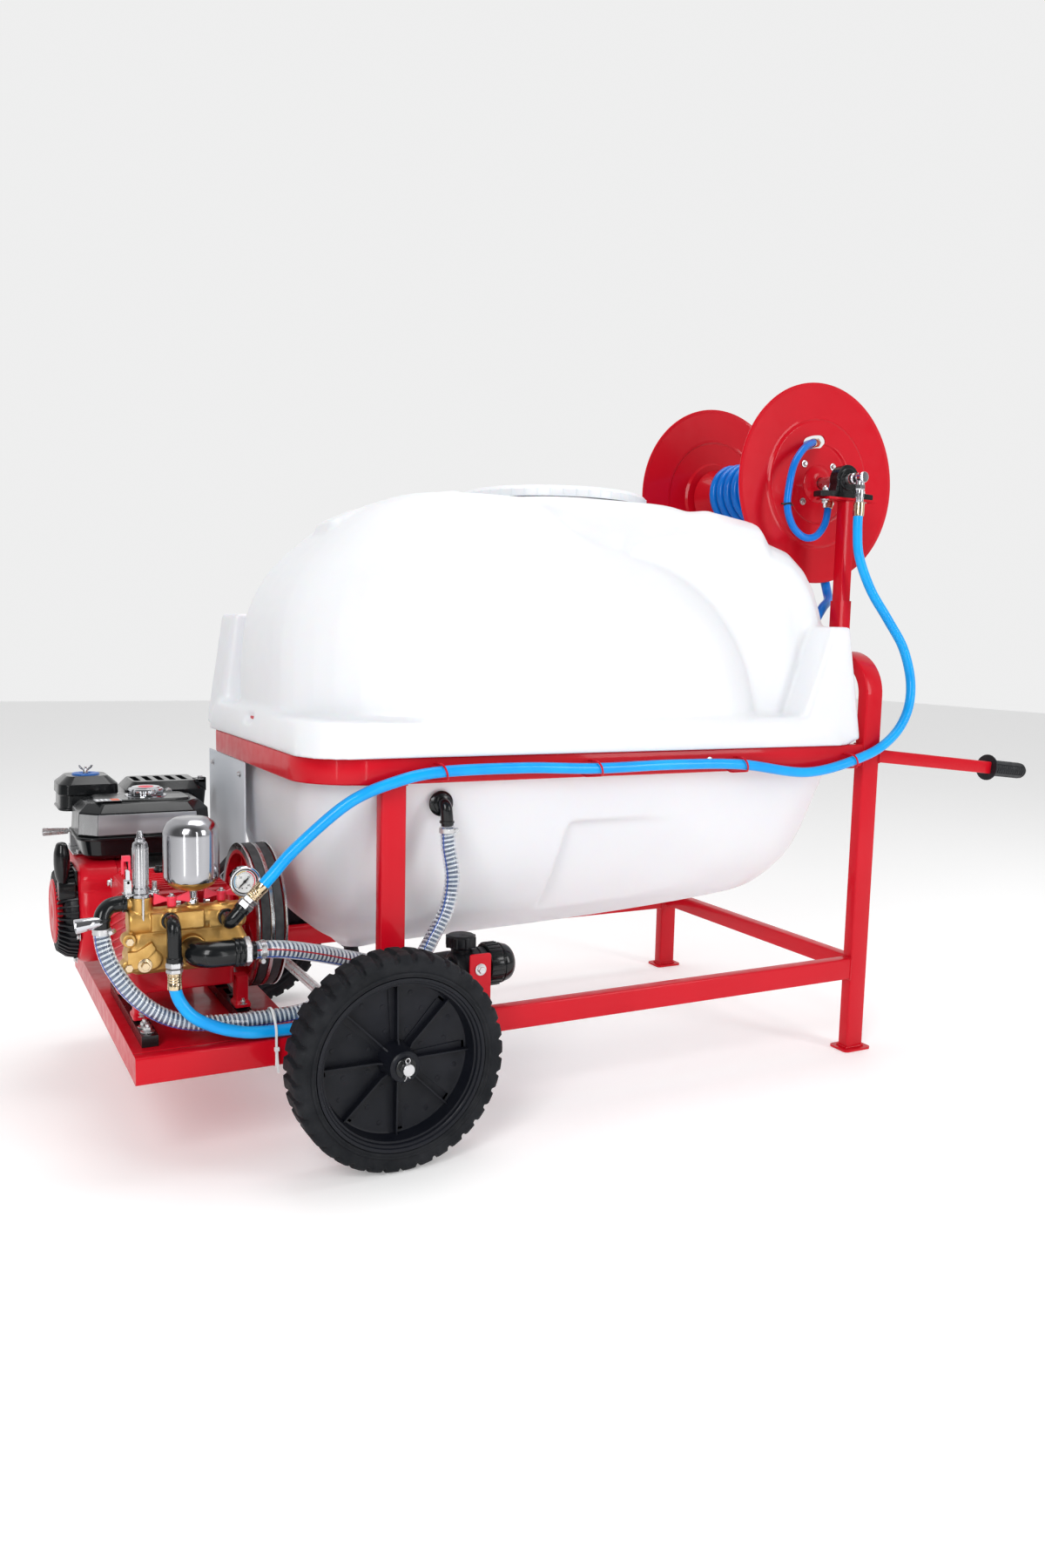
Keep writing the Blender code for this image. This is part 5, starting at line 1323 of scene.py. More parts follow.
        a = 2 * math.pi * k / steps
        lobe = 1 - 0.035 * max(0.0, math.cos(10 * a)) ** 3
        for r, z in rings:
            grip = lobe if r > 0.031 else 1
            points.append((r * grip * math.cos(a), r * grip * math.sin(a), z))
    n = len(rings)
    faces = between_rings(steps, n, True, False)
    faces += [tuple(k * n for k in range(steps)), tuple(k * n + n - 1 for k in range(steps))]
    piece("fuel_cap_lobed", "fuel_cap", "chrome",
          moved((np.array(points), faces), Matrix.Translation((-0.312, 0.150, 0.6083))),
          replaces="fuel_cap", sharp=32)
    piece("fuel_cap_centre", "fuel_cap", "valve_red",
          lathe([(0, 0.0187), (0.0150, 0.0187), (0.0165, 0.0180), (0, 0.0175)], "+Z",
          (-0.312, 0.150, 0.6083), 40), slot="chrome")
    piece("fuel_neck_ring", "cart", "chrome",
          lathe([(0.034, -0.0010), (0.0435, -0.0010), (0.0425, 0.0012), (0.034, 0.0012)],
          "+Z", (-0.312, 0.150, 0.6076), 64))

    cleaner = [
        loft([(0.4845, -0.440, -0.375, 0.262, 0.345, 0.010), (0.560, -0.440, -0.372, 0.258, 0.355, 0.012),
              (0.5650, -0.470, -0.356, 0.256, 0.369, 0.018)], 4),
        loft([(0.5640, -0.474, -0.352, 0.252, 0.373, 0.022), (0.5660, -0.476, -0.350, 0.250, 0.375, 0.022),
              (0.5700, -0.476, -0.350, 0.250, 0.375, 0.022), (0.5710, -0.473, -0.353, 0.253, 0.372, 0.022),
              (0.5980, -0.472, -0.354, 0.254, 0.371, 0.022), (0.5990, -0.476, -0.350, 0.250, 0.375, 0.024),
              (0.6210, -0.475, -0.351, 0.251, 0.374, 0.024), (0.6380, -0.456, -0.370, 0.270, 0.355, 0.018)],
              4),
    ]
    piece("air_cleaner_case", "cart", "gloss", *cleaner, replaces="air_cleaner", edge=0.0016, sharp=40)
    at = (-0.413, 0.3125, 0.6380)
    piece("air_cleaner_ring", "cart", "cap_blue",
          lathe([(0.012, 0), (0.030, 0), (0.028, 0.0035), (0.014, 0.0035)], "+Z",
          (at[0], at[1], 0.6376), 48), slot="black_plastic", edge=0.0004)
    wing = [(0.002, 0.0), (0.014, 0.010), (0.016, 0.0155), (0.0115, 0.0155), (0.0055, 0.0085),
            (0.002, 0.0075)]
    wings = [prism([(at[0] + s * x, 0.643 + z) for x, z in wing], 0.0022, "XZ", at[1] - 0.0011)
             for s in (-1, 1)]
    piece("air_cleaner_wing_nut", "cart", "chrome", *wings,
          lathe(rounded([(0, 0), (0.0062, 0), (0.0045, 0.009), (0.0028, 0.010), (0.0028, 0.015), (0, 0.015)],
                        0.0006, 2), "+Z",
                (at[0], at[1], 0.6400), 28), edge=0.0004)
    guard = loft([(0.5245, -0.330, -0.165, 0.262, 0.392, 0.015),
                  (0.6030, -0.335, -0.158, 0.252, 0.400, 0.020),
                  (0.6220, -0.318, -0.176, 0.268, 0.384, 0.014)], 4)
    cuts = [prism(rectangle(-0.312 + 0.026 * i, -0.298 + 0.026 * i, 0.285, 0.368, 0.0065, 4), 0.02, "XY",
                  0.612) for i in range(5)]
    cuts += [prism(rectangle(-0.312 + 0.026 * i, -0.298 + 0.026 * i, 0.545, 0.590, 0.0065, 4), 0.03, "XZ",
                   0.238) for i in range(5)]
    piece("muffler_guard", "cart", "gloss", carved([guard], cuts), slot="black_metal", replaces="muffler",
          edge=0.0014)
    piece("muffler_bracket", "cart", "black", block((-0.176, 0.262, 0.598), (-0.1585, 0.275, 0.628)),
          block((-0.182, 0.262, 0.616), (-0.160, 0.300, 0.6235)), slot="black_metal", edge=0.0012)
    piece("muffler_bolts", "cart", "steel", *bolt((-0.171, 0.268, 0.6235), "+Z", 0.010),
          *bolt((-0.246, 0.2515, 0.600), "-Y", 0.009))
    lever = prism(rounded([(-0.512, 0.243), (-0.452, 0.243), (-0.452, 0.257), (-0.512, 0.257)], 0.004, 3,
                          True), 0.0026, "XY", 0.5207)
    pad = prism(rounded([(-0.512, 0.5135), (-0.459, 0.5160), (-0.459, 0.5285), (-0.512, 0.5310)], 0.003, 3,
                        True), 0.0030, "XZ", 0.2485)
    piece("speed_lever_arm", "speed_lever", "steel", lever, pad, replaces="speed_lever", edge=0.0008)
    carb = [block((-0.452, 0.262, 0.425), (-0.395, 0.315, 0.484)),
            drum(0.017, "-X", (-0.448, 0.290, 0.452), 0.022, 0.002),
            block((-0.456, 0.246, 0.489), (-0.438, 0.262, 0.518))]
    piece("carburettor", "cart", "alloy", *carb, edge=0.0015)
    plate_ = block((-0.462, 0.150, 0.486), (-0.440, 0.262, 0.4885))
    piece("control_plate", "cart", "steel", plate_, *bolt((-0.450, 0.165, 0.4885), "+Z", 0.008),
          pipe(smooth_run([(-0.458, 0.200, 0.470), (-0.458, 0.150, 0.470)], 0.0012),
               lambda i: 0.0026 + 0.0010 * math.sin(i * 1.6), 10), edge=0.0004)


# Belt drive

def belt_loop(thickness, count):
    pump, engine = Vector(PUMP_AXIS), Vector(CRANK_AXIS)
    gap = engine - pump
    line = math.degrees(math.atan2(gap.y, gap.x))
    big, small = 0.1323 + thickness, 0.0383 + thickness
    lean = math.degrees(math.acos((big - small) / gap.length))
    return (arc(pump.x, pump.y, big, line + lean, line + 360 - lean, count)
            + arc(engine.x, engine.y, small, line - lean, line + lean, count // 3))


def make_drive():
    belts = []
    for low, high in ((-0.0212, -0.0045), (0.0045, 0.0212)):
        points = []
        inner, outer, edge = belt_loop(0.0012, 96), belt_loop(0.0103, 96), belt_loop(0.0096, 96)
        for a, b, c in zip(inner, outer, edge):
            section = ((low + 0.0028, a), (low, c), (low + 0.0008, b), (high - 0.0008, b), (high, c),
                       (high - 0.0028, a))
            points += [(PULLEY_X + x, *p) for x, p in section]
        belts.append((np.array(points), between_rings(len(inner), 6, True)))
    piece("drive_belt_pair", "cart", "belt", *belts, replaces="drive_belts", sharp=25)
    for body, radius, at in (("pump_pulley", 0.144, (PULLEY_X, *PUMP_AXIS)),
                             ("engine_pulley", 0.050, (PULLEY_X, *CRANK_AXIS))):
        floor, half = radius - 0.012, 0.0285
        rims = []
        for h0, h1, top in ((-half, -half + 0.004, radius), (-0.0036, 0.0036, radius - 0.0006),
                            (half - 0.004, half, radius)):
            rims.append(lathe([(floor - 0.002, h0), (top - 0.0006, h0), (top, h0 + 0.0006),
                               (top, h1 - 0.0006), (top - 0.0006, h1), (floor - 0.002, h1)], "+X", at, 96))
        piece(body + "_rims", body, "satin", *rims)
        if body == "pump_pulley":
            rim = lathe([(floor - 0.009, -half), (floor - 0.0015, -half), (floor, -half + 0.003),
                         (floor, half - 0.003), (floor - 0.0015, half), (floor - 0.009, half),
                         (floor - 0.010, 0)], "+X", at, 96)
            web = lathe([(0.018, -0.006), (floor - 0.006, -0.006), (floor - 0.006, 0.006), (0.018, 0.006)],
                        "+X", (0, 0, 0), 60)
            cuts = []
            for k in range(5):
                a0, a1 = 72 * k + 13, 72 * k + 59
                hole = rounded(arc(0, 0, 0.112, a0, a1, 10) + arc(0, 0, 0.046, a1 - 8, a0 + 8, 6), 0.008, 3,
                               True)
                cuts.append(prism(hole, 0.04, "YZ", -0.02))
            boss = lathe(rounded([(0.0113, -half), (0.0220, -half), (0.0235, -0.006), (0.0300, 0.0),
                                  (0.0235, 0.006), (0.0220, half), (0.0113, half)], 0.002, 3, True),
                         "+X", at, 48)
            arms = []
            for k in range(5):
                turn = Matrix.Rotation(math.radians(72 * k), 4, "X")
                arms.append(moved(block((-0.016, 0.020, -0.0028), (0.016, floor - 0.008, 0.0028)),
                                  Matrix.Translation(at) @ turn))
            piece("pump_pulley_casting", body, "cast_paint", rim,
                  moved(carved([web], cuts), Matrix.Translation(at)), boss, *arms,
                  replaces="pump_pulley", edge=0.0008)
            piece("pump_shaft", body, "steel",
                  drum(0.0114, "-X", (PULLEY_X + half - 0.002, *PUMP_AXIS), 0.092, 0.001),
                  *bolt((PULLEY_X + half, *PUMP_AXIS), "+X", 0.017))
        else:
            core = lathe([(0.0, half - 0.002), (0.030, half - 0.002), (0.034, half), (floor - 0.0005, half),
                          (floor, -half), (0, -half)],
                         "+X", at, 64)
            piece("engine_pulley_casting", body, "cast_paint", core, replaces="engine_pulley", edge=0.0008)
            piece("engine_shaft", body, "steel", drum(0.0114, "-X", (PULLEY_X, *CRANK_AXIS), 0.0762, 0.001),
                  *bolt((PULLEY_X + half - 0.002, *CRANK_AXIS), "+X", 0.017))


# Pump

def ferrule_on(start, direction, length=0.026, r=0.0112):
    """Crimped brass sleeve over a hose end: a bead, crimp rings and a rolled lip."""
    profile = [(r, 0), (r + 0.0016, 0.0008), (r + 0.0019, 0.0036), (r + 0.0009, 0.0048)]
    for h in (0.008, 0.0125, 0.017):
        profile += [(r + 0.0012, h - 0.001), (r + 0.0005, h), (r + 0.0012, h + 0.001)]
    profile += [(r + 0.0016, length - 0.002), (r + 0.0014, length), (r, length)]
    return lathe(profile, direction, start, 40)


def clamp_on(at, direction, radius, screw, width=0.009):
    """Worm-drive hose clamp with its screw housing on one side."""
    ring = lathe([(radius, 0), (radius + 0.0009, 0), (radius + 0.0009, width), (radius, width)], direction,
                 at, 48)
    slot = block((radius + 0.0007, -0.0005, 0.0015), (radius + 0.0012, 0.0005, width - 0.0015))
    slots = around(slot, 26, facing(direction, at))
    normal = Vector(direction).normalized() if not isinstance(direction,
                                                              str) else (AXES[direction].to_3x3()
                                                                         @ Vector((0, 0, 1)))
    out = Vector(screw).normalized()
    side = normal.cross(out)
    middle = Vector(at) + normal * width / 2 + out * (radius + 0.0040)
    body = [middle + side * t for t in (-0.006, 0.006)]
    housing = pipe(body, 0.0042, 16)
    head = hexagon(0.0075, side, body[1], 0.0055)
    return [ring, *slots, housing, head]


def make_pump():
    case = loft([(0.300, -0.417, -0.229, -0.279, -0.059, 0.014),
                 (0.303, -0.419, -0.228, -0.281, -0.058, 0.016),
                 (0.470, -0.419, -0.228, -0.281, -0.058, 0.016),
                 (0.482, -0.415, -0.232, -0.276, -0.063, 0.018),
                 (0.487, -0.408, -0.239, -0.268, -0.071, 0.018)], 4)
    shapes = [case]
    for i in range(12):
        y = -0.268 + i * 0.0170
        shapes.append(block((-0.406, y, 0.470), (-0.240, y + 0.0045, 0.4918)))
    for i in range(10):
        z = 0.314 + i * 0.0165
        slant = Matrix.Translation((-0.4205, -0.168, z)) @ Matrix.Rotation(math.radians(-18), 4, "X")
        shapes.append(moved(block((-0.0042, -0.1000, -0.0022), (0.0042, 0.1000, 0.0022)), slant))
    for x in (-0.415, -0.228):
        for y in (-0.280, -0.105):
            shapes.append(loft([(0.2500, x, x + 0.030, y, y + 0.045, 0.004),
                                (0.256, x, x + 0.030, y, y + 0.045, 0.004),
                                (0.262, x + 0.003, x + 0.027, y + 0.008, y + 0.037, 0.004),
                                (0.310, x + 0.003, x + 0.027, y + 0.006, y + 0.039, 0.004)], 3))
    shapes.append(lathe([(0, 0), (0.052, 0), (0.052, 0.006), (0.040, 0.012), (0.024, 0.014), (0.0115, 0.014),
                         (0, 0.014)], "+X",
                        (-0.2285, *PUMP_AXIS), 56))
    piece("pump_crankcase_casting", "cart", "cast_paint", *shapes, replaces="pump_crankcase", edge=0.0012)
    mounts, bolts = [], []
    for x in (-0.400, -0.213):
        for y in (-0.2575, -0.0825):
            mounts.append(lathe(rounded([(0, 0), (0.013, 0), (0.0145, 0.0024), (0.013, 0.0048), (0, 0.0048)],
                                        0.001, 2), "+Z",
                                (x, y, 0.2452), 28))
            bolts += bolt((x, y + (0.016 if y > -0.2 else -0.0165), 0.2562), "+Z", 0.009, shank=0.004)
    piece("pump_mounts", "cart", "black", *mounts)
    for a in range(30, 390, 60):
        bolts += bolt((-0.2228, *polar(0.044, a, *PUMP_AXIS)),
                      "+X", 0.008)
    for y, z in ((-0.262, 0.322), (-0.262, 0.468), (-0.076, 0.322), (-0.076, 0.468)):
        bolts += bolt((-0.4190, y, z), "-X", 0.010)
    piece("pump_bolts", "cart", "steel", *bolts, edge=0.0003)
    piece("oil_filler_cap", "cart", "gloss",
          lathe(rounded([(0, 0), (0.015, 0), (0.015, 0.006), (0.012, 0.008), (0.012, 0.014), (0, 0.014)],
          0.0015), "+Z", (-0.330, -0.110, 0.4900), 32))
    bars = []
    for x in (-0.415, -0.228):
        slots = [prism(rectangle(x + 0.010, x + 0.020, y, y + 0.040, 0.0049, 5), 0.03, "XY", 0.238)
                 for y in (-0.350, -0.220, -0.170, -0.045)]
        bars.append(carved([block((x + 0.0005, -0.3595, 0.2256), (x + 0.0295, -0.0005, 0.2458))], slots))
    piece("pump_slide_bars", "cart", "gloss", *bars, slot="black_metal", edge=0.0008)
    screws = []
    for x, y in ((-0.400, -0.335), (-0.213, -0.335), (-0.400, -0.020), (-0.213, -0.020), (-0.400, -0.305)):
        screws += bolt((x, y, 0.2457), "+Z", 0.013, shank=0.005)
    piece("pump_slide_bolts", "cart", "steel", *screws, edge=0.0004)

    brass = [
        loft([(0.354, -0.420, -0.232, -0.340, -0.286, 0.008), (0.362, -0.434, -0.216, -0.346, -0.286, 0.012),
              (0.385, -0.436, -0.214, -0.347, -0.286, 0.012), (0.405, -0.430, -0.220, -0.344, -0.286, 0.012),
              (0.424, -0.420, -0.228, -0.334, -0.286, 0.012)], 3),
        drum(0.0235, "+X", (-0.430, -0.3210, 0.4460), 0.208, 0.006, 40),
        block((-0.392, -0.348, 0.430), (-0.300, -0.300, 0.462)),
        block((-0.290, -0.344, 0.428), (-0.230, -0.300, 0.460)),
        lathe([(0, 0), (0.0175, 0), (0.0200, 0.012), (0.0190, 0.030), (0.0200, 0.046), (0.0200, 0.0500),
               (0, 0.0500)], "+Z",
              (-0.405, -0.320, 0.4400), 40),
        drum(0.0100, "-X", (-0.400, -0.320, 0.480), 0.033, 0.001, 28),
        drum(0.0150, "+Z", (-0.354, -0.330, 0.440), 0.0300, 0.002, 32),
        drum(0.0150, "+Z", (-0.262, -0.318, 0.440), 0.0300, 0.002, 32),
        drum(0.0170, "+Z", (-0.316, -0.318, 0.440), 0.0298, 0.002, 32),
        drum(0.0145, "-Y", (-0.361, -0.330, 0.449), 0.0240, 0.002, 32),
        drum(0.0145, "-Y", (-0.261, -0.330, 0.447), 0.0220, 0.002, 32),
        drum(0.0255, "-Y", (-0.322, -0.325, 0.393), 0.0270, 0.002, 40),
    ]
    for x in (-0.392, -0.326, -0.262):
        brass.append(drum(0.0165, "+Z", (x, -0.316, 0.405), 0.040, 0.003, 32))
        brass.append(drum(0.0180, "-Y", (x, -0.330, 0.381), 0.0190, 0.003, 32))
    rib = [(-0.434, 0.366), (-0.418, 0.366), (-0.385, 0.400), (-0.392, 0.412), (-0.418, 0.398),
           (-0.434, 0.398)]
    brass.append(prism(rib, 0.010, "XZ", -0.3500))
    for x, z in ((-0.430, 0.4170), (-0.432, 0.3700)):
        brass.append(drum(0.0120, "-Y", (x, -0.315, z), 0.030, 0.002, 28))
    brass.append(drum(0.0125, "-Y", (-0.405, -0.330, 0.372), 0.0190, 0.002, 28))
    brass.append(drum(0.0080, "+Z", (-0.2265, -0.333, 0.455), 0.027, 0.001, 28))
    piece("pump_manifold_casting", "cart", "brass", *brass, replaces="pump_manifold", remesh=0.0014, soften=3)
    screws = []
    for x, z, r in ((-0.430, 0.4170, 0.345), (-0.432, 0.3700, 0.345), (-0.405, 0.372, 0.349)):
        screws += bolt((x, -r, z), "-Y", 0.0135, washer=(x == -0.405))
    piece("manifold_end_bolts", "cart", "ferrule", *screws, edge=0.0005)
    screws = bolt((-0.338, -0.302, 0.4650), "+Z", 0.015, shank=0.004) + bolt((-0.285, -0.302, 0.4640), "+Z",
                                                                             0.012)
    screws += bolt((-0.245, -0.3475, 0.365), "-Y", 0.011) + bolt((-0.292, -0.3470, 0.372), "-Y", 0.010)
    piece("manifold_studs", "cart", "chrome", *screws, edge=0.0004)

    elbow = smooth_route([(-0.361, -0.349, 0.449), (-0.361, -0.366, 0.450), (-0.361, -0.379, 0.446),
                          (-0.361, -0.3840, 0.434), (-0.361, -0.3840, 0.400), (-0.361, -0.3840, 0.376)],
                          0.0022)
    shapes = [pipe(elbow, 0.0128, 28), drum(0.0155, "-Y", (-0.361, -0.346, 0.449), 0.010, 0.002, 32, 4),
              drum(0.0145, "-Z", (-0.361, -0.384, 0.392), 0.010, 0.002, 32, 4)]
    up = Vector((0.057, -0.0053, 0.062)).normalized()
    base = Vector((-0.263, -0.385, 0.445))
    elbow = smooth_route([(-0.261, -0.347, 0.447), (-0.261, -0.366, 0.446), (-0.2625, -0.379, 0.4445),
                          tuple(base + up * 0.006), tuple(base + up * 0.022), tuple(base + up * 0.038)],
                          0.0022)
    shapes += [pipe(elbow, 0.0130, 28),
               drum(0.0155, "-Y", (-0.261, -0.344, 0.447), 0.010, 0.002, 32, 4),
               drum(0.0147, up, base + up * 0.026, 0.010, 0.002, 32, 4)]
    suction = smooth_route([(-0.322, -0.340, 0.393), (-0.322, -0.364, 0.393), (-0.319, -0.382, 0.393),
                            (-0.309, -0.3940, 0.393), (-0.296, -0.3995, 0.393), (-0.262, -0.400, 0.393),
                            (-0.236, -0.400, 0.393)],
                            0.003)
    shapes += [pipe(suction, 0.0235, 36),
               drum(0.0265, "+X", (-0.262, -0.400, 0.393), 0.008, 0.002, 40, 4),
               drum(0.0262, "+X", (-0.254, -0.400, 0.393), 0.0100, 0.002, 40),
               drum(0.0172, "+X", (-0.236, -0.400, 0.393), 0.0140, 0.001, 32)]
    piece("pump_elbows", "cart", "gloss", *shapes, sharp=40)
    nuts = [hexagon(0.0480, "+X", (-0.2435, -0.400, 0.393), 0.0120),
            hexagon(0.0270, "-Z", (-0.361, -0.384, 0.383), 0.0110),
            hexagon(0.0262, "-Z", (-0.361, -0.384, 0.371), 0.0080),
            hexagon(0.0275, up, base + up * 0.0345, 0.0120), hexagon(0.0262, up, base + up * 0.0475, 0.0090)]
    piece("pump_elbow_nuts", "cart", "steel", *nuts, edge=0.0008)
    piece("hose_ferrules", "cart", "ferrule", ferrule_on((-0.361, -0.384, 0.3640), "-Z", 0.030),
          ferrule_on(base + up * 0.0560, up, 0.032))
    piece("suction_clamps", "cart", "steel",
          *clamp_on((-0.2140, -0.400, 0.393), Vector((1, 0.03, -0.02)), 0.0168, (0, -0.2, -1)),
          *clamp_on((0.1560, -0.3300, 0.2950), "+X", 0.0168, (0, 0.1, 1)))

    at = (-0.316, -0.318, 0)
    piece("air_chamber_neck", "cart", "chrome",
          lathe(rounded([(0, 0.4703), (0.0125, 0.4703), (0.0125, 0.4800), (0.0108, 0.4815),
          (0.0108, 0.4965), (0, 0.4965)], 0.0008, 2), "+Z", at, 40), replaces="air_chamber")
    bowl = [(0, 0.4955), (0.0120, 0.4955), (0.0200, 0.4965), (0.0320, 0.5010), (0.0410, 0.5080),
            (0.0455, 0.5145), (0.0455, 0.5200), (0, 0.5200)]
    piece("air_chamber_bowl", "cart", "brass", lathe(bowl, "+Z", at, 72))
    can = [(0, 0.5130), (0.0440, 0.5130), (0.0470, 0.5142), (0.0488, 0.5175), (0.0495, 0.5230)]
    can += [(0.0495, 0.5230 + 0.0093 * k) for k in range(1, 9)]
    can += [(0.0495, 0.6000), (0.0488, 0.6060), (0.0466, 0.6120), (0.0430, 0.6175), (0.0385, 0.6215),
            (0.0345, 0.6240), (0.0315, 0.6265), (0.0270, 0.6278), (0, 0.6280)]
    piece("air_chamber_can", "cart", "drawn", lathe(can, "+Z", at, 96))

    at = (-0.405, -0.320)
    reg = [(0, 0.4903), (0.0190, 0.4903), (0.0190, 0.4960), (0.0150, 0.4975), (0.0150, 0.5060),
           (0.0135, 0.5075), (0.0135, 0.5800), (0.0128, 0.5860), (0.0110, 0.5885), (0.0085, 0.5895),
           (0.0085, 0.5940), (0.0060, 0.5970), (0.0050, 0.6040), (0.0040, 0.6083), (0, 0.6083)]
    flange = prism(rounded([(at[0] - 0.030, at[1] - 0.010), (at[0] + 0.030, at[1] - 0.010),
                            (at[0] + 0.030, at[1] + 0.010), (at[0] - 0.030, at[1] + 0.010)], 0.009, 5, True),
                            0.004, "XY", 0.4940)
    piece("regulator_body", "cart", "drawn", lathe(reg, "+Z", (*at, 0), 48), flange,
          replaces="pressure_regulator",
          edge=0.0004, sharp=28)
    knurl = around(block((0.0130, -0.0008, 0.512), (0.0141, 0.0008, 0.578)), 20, Matrix.Translation((*at, 0)))
    for s in (-1, 1):
        knurl += bolt((at[0] + s * 0.0235, at[1], 0.4980), "+Z", 0.009, shank=0.010)
        knurl.append(pipe([(at[0] + s * 0.0235 + 0.0038 * math.cos(i * 0.7),
                            at[1] + 0.0038 * math.sin(i * 0.7), 0.5045 + i * 0.00030)
                           for i in range(42)], 0.0008, 6))
        knurl += bolt((at[0] + s * 0.0235, at[1], 0.4938), "-Z", 0.009)
    rod = drum(0.0024, "-Z", (at[0], at[1] - 0.0215, 0.494), 0.048, 0.0005, 16)
    piece("regulator_hardware", "cart", "steel", *knurl, rod)
    lever = prism(rounded([(-0.4310, 0.5140), (-0.4235, 0.5140), (-0.4240, 0.5400), (-0.4305, 0.5400)], 0.003,
                          4, True),
                  0.0080, "XZ", -0.3240)
    piece("regulator_lever_arm", "regulator_lever", "chrome", lever,
          drum(0.0032, "-Y", (-0.4272, -0.3125, 0.5180), 0.0150, 0.0006, 20),
          slot="zinc_steel", replaces="regulator_lever", edge=0.0010)
    bend = smooth_route([(-0.4350, -0.320, 0.5330), (-0.4352, -0.320, 0.5560), (-0.4325, -0.320, 0.5625),
                         (-0.4275, -0.320, 0.5635), (-0.4240, -0.320, 0.5600), (-0.4232, -0.320, 0.5330)],
                         0.0012)
    top = block((-0.4362, -0.3252, 0.5560), (-0.4222, -0.3148, 0.5650))
    piece("regulator_lever_tip", "regulator_lever", "valve_red", pipe(bend, 0.0024, 12), top, edge=0.0012)
    yoke = [block((-0.4330, y0, 0.4970), (-0.4215, y0 + 0.0020, 0.5215)) for y0 in (-0.3275, -0.3145)]
    piece("regulator_lever_yoke", "cart", "steel", *yoke, edge=0.0008)

    for label, x, y in (("left", -0.354, -0.330), ("right", -0.262, -0.315)):
        wings = [(0.0, 0.0), (0.006, 0.0002), (0.014, -0.0006), (0.0320, -0.0050), (0.0310, 0.0165),
                 (0.015, 0.0085), (0.007, 0.0052), (0.0, 0.0050)]
        shapes = []
        for s in (-1, 1):
            shapes.append(prism(rounded([(x + s * a, 0.4810 + b) for a, b in wings], 0.003, 3, True), 0.0070,
                                "XZ", y - 0.0035))
        shapes.append(lathe(rounded([(0, 0), (0.0078, 0), (0.0085, 0.012), (0.0095, 0.016), (0.0088, 0.0185),
                                     (0, 0.0185)], 0.0015, 3),
                            "+Z", (x, y, 0.4706), 32))
        body = "outlet_valve_" + label
        piece(body + "_handle", body, "valve_red", *shapes, replaces=body, edge=0.0012)
        piece(body + "_screw", body, "steel", *bolt((x, y, 0.4888), "+Z", 0.007), edge=0.0003)

    gx, gy, gz = -0.2265, -0.352, 0.509
    case = [(0, 0.0255), (0.0225, 0.0255), (0.0250, 0.0240), (0.0262, 0.0220), (0.0262, 0.0060),
            (0.0282, 0.0048), (0.0284, 0.0016),
            (0.0272, 0.0), (0.0248, 0.0), (0.0232, 0.0026), (0.0228, 0.0060), (0, 0.0060)]
    piece("gauge_case", "cart", "chrome", lathe(case, "+Y", (gx, gy, gz), 72), replaces="pressure_gauge")
    face_y = gy + 0.0058
    piece("gauge_dial", "cart", "dial_white",
          lathe([(0, 0), (0.0212, 0), (0.0212, 0.0012), (0, 0.0012)], "+Y", (gx, face_y, gz), 64),
          slot="grey_sheet")
    piece("gauge_gasket", "cart", "ink",
          lathe([(0.0211, -0.0006), (0.0230, -0.0012), (0.0230, 0.0010), (0.0211, 0.0010)], "+Y",
          (gx, face_y, gz), 64))
    ticks = []
    for k in range(28):
        a = math.radians(225 - 10 * k)
        long = 0.0040 if k % 9 == 0 else 0.0020
        mark = Matrix.Translation((gx, 0, gz)) @ Matrix.Rotation(-a, 4, "Y")
        ticks.append(moved(block((0.0172 - long, face_y - 0.0003, -0.00028),
                                 (0.0172, face_y + 0.0001, 0.00028)), mark))
    ticks.append(drum(0.0022, "-Y", (gx, face_y + 0.0002, gz), 0.0016, 0.0003, 20))
    ticks += [drum(0.0012, "-Y", (gx + dx, face_y + 0.0002, gz - 0.0125), 0.0006, 0.0001, 16)
              for dx in (-0.0045, 0.0035)]
    for value, a in (("0", 225), ("20", 135), ("40", 45), ("60", -45)):
        x, z = polar(0.0106, a, gx, gz)
        ticks.append(digits(value, (x, face_y - 0.0001, z), 0.0052))
    piece("gauge_marks", "cart", "ink", *ticks)
    for label, finish, a0, a1 in (("red", "valve_red", 78, -42), ("yellow", "scale_yellow", 140, 84),
                                  ("blue", "scale_blue", 215, 146)):
        band = [(gx + p[0], gz + p[1]) for p in arc(0, 0, 0.0196, a0, a1, 24) + arc(0, 0, 0.0178, a1, a0, 24)]
        piece("gauge_%s_band" % label, "cart", finish, prism(band, 0.0003, "XZ", face_y - 0.0002),
              slot="red_paint")
    needle = [(-0.0014, -0.0085), (0.0014, -0.0085), (0.0011, -0.0020), (0.0013, 0.0020), (0.0005, 0.0165),
              (-0.0005, 0.0165), (-0.0013, 0.0020), (-0.0011, -0.0020)]
    aim = Matrix.Translation((gx, 0, gz)) @ Matrix.Rotation(math.radians(-135), 4, "Y")
    piece("gauge_pointer", "gauge_needle", "ink", moved(prism(needle, 0.0008, "XZ", face_y - 0.0022), aim),
          drum(0.0028, "-Y", (gx, face_y - 0.0010, gz), 0.0014, 0.0004, 24), replaces="gauge_needle")
    piece("gauge_stem", "cart", "ferrule", hexagon(0.0150, "-Z", (gx, -0.338, 0.4845), 0.0090), edge=0.0005)

